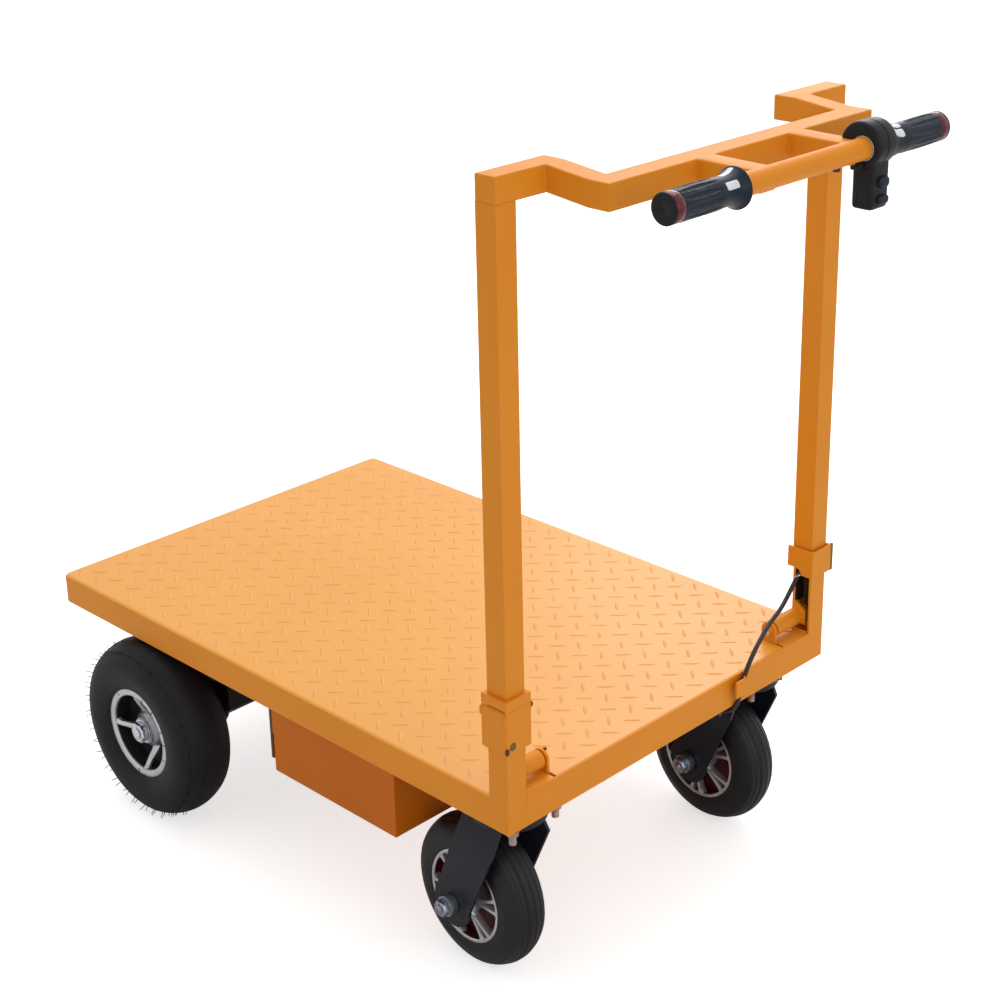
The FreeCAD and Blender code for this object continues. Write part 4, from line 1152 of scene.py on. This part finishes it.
def makeSwitch(values):
    # a case that rounds in at its foot, two buttons and a dark seam
    low, high = boxOf("switch_box")
    middle = (low + high) / 2
    half = (high[:2] - low[:2]) / 2
    section = roundedLoop(*half / mm, values["corner"], 6)
    rings = [(high[2] + values["above"] * mm, 0)]
    rings += [(low[2] + up * mm, inset * mm) for up, inset in values["foot"]]
    case = np.array([np.column_stack([middle[:2] + section * (1 - inset / half),
                                      np.full(len(section), z)]) for z, inset in rings])
    makePiece("switchCase", [capped(case)], "blackPlastic", "handle", "switch_box", 50)
    caps = []
    for z, tall in values["buttons"]:
        loop = roundedLoop(values["buttonHalf"], tall, tall - 0.6, 6)
        reach = np.abs(loop).max()
        caps.append(capped(np.array([
            np.column_stack([np.full(len(loop), high[0] + out * mm),
                             (middle[1] + values["buttonAcross"] * mm, z * mm)
                             + loop * (1 - inset * mm / reach)])
            for out, inset in values["dome"]])))
    makePiece("switchButtons", caps, "gripRubber", "handle", sharp=50)
    x = low[0] + values["seam"] * mm
    y = low[1] - values["seamOut"] * mm
    seam = np.linspace((x, y, low[2] + values["seamFrom"] * mm),
                       (x, y, high[2] - values["seamTo"] * mm), 6)
    makePiece("switchSeam", [carried(values["seamRadius"] * mm, seam, 6)], "wheelDark", "handle")


gripGlints = dict(
    left=dict(spots=((13.5, 100, 10.5, 4.6), (21.5, 34, 10, 5)), line=flange, shift=0),
    right=dict(spots=((15.5, 80, 12.5, 5), (13.5, 38, 11, 5.2)),  # along, angle, half sizes
               line=((0, 23.6), (1.9, 22.3), (3.8, 21.1), (5.6, 20.1), (7.5, 19.2), (9.4, 18.5),
                     (11.3, 17.9), (15, 17.4), (20, 16.4), (27, 16.7), (32, 17)), shift=1),
    sunk=0.3, thick=0.75)


def makeGripGlints(name, side, root, values):
    # white patches that are painted highlights, the reflections of two window-like lights on the
    # glossy grips: the grip's outline plus a thin pillow (1 - u^8)(1 - v^8) over a rounded square
    glintSet = values[name]
    u, v = np.meshgrid(np.linspace(-1, 1, 13), np.linspace(-1, 1, 9), indexing="ij")
    pillow = values["thick"] * (1 - u ** 8) * (1 - v ** 8) - values["sunk"]
    patches = []
    for d, angle, halfLong, halfWide in glintSet["spots"]:
        at = d + u * halfLong * np.sqrt(1 - 0.05 * v ** 2)
        base = np.interp(at, *zip(*glintSet["line"]))
        a = math.radians(angle) + v * halfWide / base * np.sqrt(1 - 0.08 * u ** 2)
        r = (base + pillow) * mm
        # on the right the painted highlights follow the housing's cone toward the bar's middle
        off = glintSet["shift"] * np.clip(1 - at / housing["coneLength"], 0, 1) ** 1.8 * mm
        patches.append((np.stack([gripX - 4 * off + r * np.cos(a), root + side * at * mm,
                                  gripZ + 3 * off + r * np.sin(a)], axis=-1), False, False))
    makePiece("gripGlint_" + name, patches, "glintWhite", "handle", sharp=60)


barPlug = dict(back=4, across=46, down=11, profile=((0, -2), (4.6, -2), (4.6, 5.5), (4, 6.8),
                                                    (2.4, 7.2), (0, 7.2)))


def makePlug(values):
    # a small red plug in the bar's underside
    spot = (gripX - values["back"] * mm, values["across"] * mm, gripZ - values["down"] * mm)
    makePiece("barPlug", [lathe(placeOf(spot, (0, 0, -1)), values["profile"], steps=32)],
              "redRing", "handle")


gripRoots = dict(left=boxOf("grip_left")[1][1] - grip["leftRoot"] * mm,
                 right=boxOf("grip_right")[0][1])
makeGrip("left", -1, grip, gripRoots["left"], boxOf("grip_left")[0][1])
makeGrip("right", 1, grip, gripRoots["right"], boxOf("grip_right")[1][1])
makeHousing(housing)
makeSwitch(switchBox)
for name, side in sides:
    makeGripGlints(name, side, gripRoots[name], gripGlints)
makePlug(barPlug)
print("grips and switch made")


# small fittings on the posts and hinges, and dark sheets of painted shade inside the posts

postShade = dict(skin=0.25, foot=0.5, head=1, shadeHalf=13, shadeIn=3.1, shadeShift=-1.4,
                back=12.4, backIn=3.2, backAcross=16.4, strap=9.6, strapIn=4.2, strapY=282,
                strapSpan=(38, 104))


def upright(halfX, halfY, x, y, low, high, radius=0.2, arcSteps=2, ease=0.0):
    # a narrow plate standing between two heights
    return bar(roundedLoop(halfX, halfY, radius, arcSteps), (x, y, low), (x, y, high),
               up=(0, 1, 0), ease=ease)


def makePostShade(values):
    # dark sheets of painted shade inside the open posts and on the straps' faces, where these lie
    # in shade
    shadeSheets = []
    shadedStraps = []
    v = {key: value * mm for key, value in values.items() if isinstance(value, (int, float))}
    skin = values["skin"]
    for name, side in sides:
        low, high = boxOf("post_stub_" + name)
        foot, head = deckTop + v["foot"], high[2] - v["head"]
        shadeSheets.append(upright(values["shadeHalf"], skin, (low[0] + high[0]) / 2 + v["shadeShift"],
                               side * (deckSide - v["shadeIn"]), foot, head))
        shadeSheets.append(upright(skin, values["back"], high[0] - v["backIn"],
                               side * (deckSide - v["backAcross"]), foot, head))
        shadedStraps.append(upright(skin, values["strap"], low[0] + v["strapIn"], side * v["strapY"],
                              *(deckTop + height * mm for height in values["strapSpan"])))
    makePiece("postShadeSheets", shadeSheets, "paintedShade", "chassis")
    makePiece("strapShadeSheets", shadedStraps, "paintedShade", "handle")


socketTrim = dict(
    edge=dict(halfX=1.9, halfY=3, radius=0.8, arcSteps=3, ease=1), edgeAt=(-2.6, 1.2), edgeDown=1,
    mark=(-1.4, 3.8, 5), markHalf=(2.9, 5.5),
    spot=(0, 12, 9), spotProfile=((0, -1), (5.4, -1), (5.2, 0.1), (4, 0.35), (0, 0.4)),
    screw=(-4, -4.5), screwHead=dict(flat=3.2, height=3.2, washer=1),
    rimSection=(1.2, 0.9, 0.5, 3), rimAt=(-1.6, 0.6), rimSpan=(2.5, -1),
    lug=(3, -214.5, 10.6), lugHead=dict(flat=1.8, height=1.3, washer=0.4))


def makeSocketTrim(values):
    # the right socket's edge, a dark olive strip that is painted shade on that face, and the left
    # one's marks, screw and rim
    v = {key: np.array(values[key]) * mm for key in
         ("edgeAt", "edgeDown", "mark", "spot", "screw", "rimAt", "rimSpan", "lug")}
    low, high = boxOf("collar_right")
    edge = upright(x=high[0] + v["edgeAt"][0], y=high[1] + v["edgeAt"][1],
                   low=low[2] - v["edgeDown"], high=high[2] - v["edgeDown"], **values["edge"])
    makePiece("socketEdge", [edge], "oliveSteelAndShade", "chassis")
    low, high = boxOf("collar_left")
    corner = np.array((high[0], low[1], low[2]))
    t = np.linspace(0, math.pi, 12)
    wide, tall = values["markHalf"]
    mark = lathe(placeOf(corner + v["mark"], (0, 0, 1)),
                 np.stack([wide * np.sin(t), -tall * np.cos(t)], axis=-1), steps=24)
    makePiece("socketMark", [mark], "brownSteelAndShade", "chassis")
    spot = lathe(placeOf(corner + v["spot"], (1, 0, 0)), values["spotProfile"], steps=24)
    makePiece("socketSpot", [spot], "oliveSteelAndShade", "chassis")
    ringX = boxOf("leg_ring")[1][0]
    screw = placeOf((ringX + v["screw"][0], high[1], high[2] + v["screw"][1]), (0, 1, 0))
    makePiece("ringScrew", hexHead(screw, **values["screwHead"]), "brownSteelAndShade", "chassis")
    ends = np.array((low[1], high[1])) + v["rimSpan"]
    rim = bar(roundedLoop(*values["rimSection"]),
              *((high[0] + v["rimAt"][0], y, high[2] + v["rimAt"][1]) for y in ends))
    makePiece("socketRim", [rim], "orangePaint", "chassis")
    pivot = jointOf("handle_fold")["pos_m"]
    lug = placeOf(np.array((pivot[0], 0, pivot[2])) + v["lug"], (0.3, 0, 1))
    makePiece("lugScrew", hexHead(lug, **values["lugHead"]), "brownSteelAndShade", "chassis")


fittings = dict(socketBead=1.6, socketInset=(1, 0.8), socketDrop=(12, 2),
                footBead=1.7, footRise=0.6, innerRun=(-29.5, -4), frontX=-30.2,
                frontRun=(29.5, 1.5),
                pinEnd=((0, -0.3), (4.4, -0.3), (4.4, 0.5), (3.8, 0.9), (0, 0.9)))


def makeFittings(values):
    # beads on the left socket and round the posts' feet, and the pins' ends
    low, high = boxOf("collar_left")
    insetX, insetY = (inset * mm for inset in values["socketInset"])
    beads = [weld([(x, low[1] + insetY, high[2] - drop * mm) for drop in values["socketDrop"]],
                  values["socketBead"]) for x in (low[0] + insetX, high[0] - insetX)]
    z = deckTop + values["footRise"] * mm
    for side in (-1, 1):
        inner = [(rearX + x * mm, side * (deckSide - postTube), z) for x in values["innerRun"]]
        front = [(rearX + values["frontX"] * mm, side * (deckSide - y * mm), z)
                 for y in values["frontRun"]]
        beads += [weld(run, values["footBead"]) for run in (inner, front)]
    makePiece("chassisWelds", beads, "orangePaint", "chassis", sharp=60)
    clips = []
    for name, side in sides:
        low, high = boxOf("hinge_pin_" + name)
        middle = (low + high) / 2
        middle[1] = low[1] if side > 0 else high[1]
        clips.append(lathe(placeOf(middle, (0, -side, 0)), values["pinEnd"], steps=32))
    makePiece("pinEnds", clips, "zincSteel", "chassis")


makePostShade(postShade)
makeSocketTrim(socketTrim)
makeFittings(fittings)
print("fittings made")
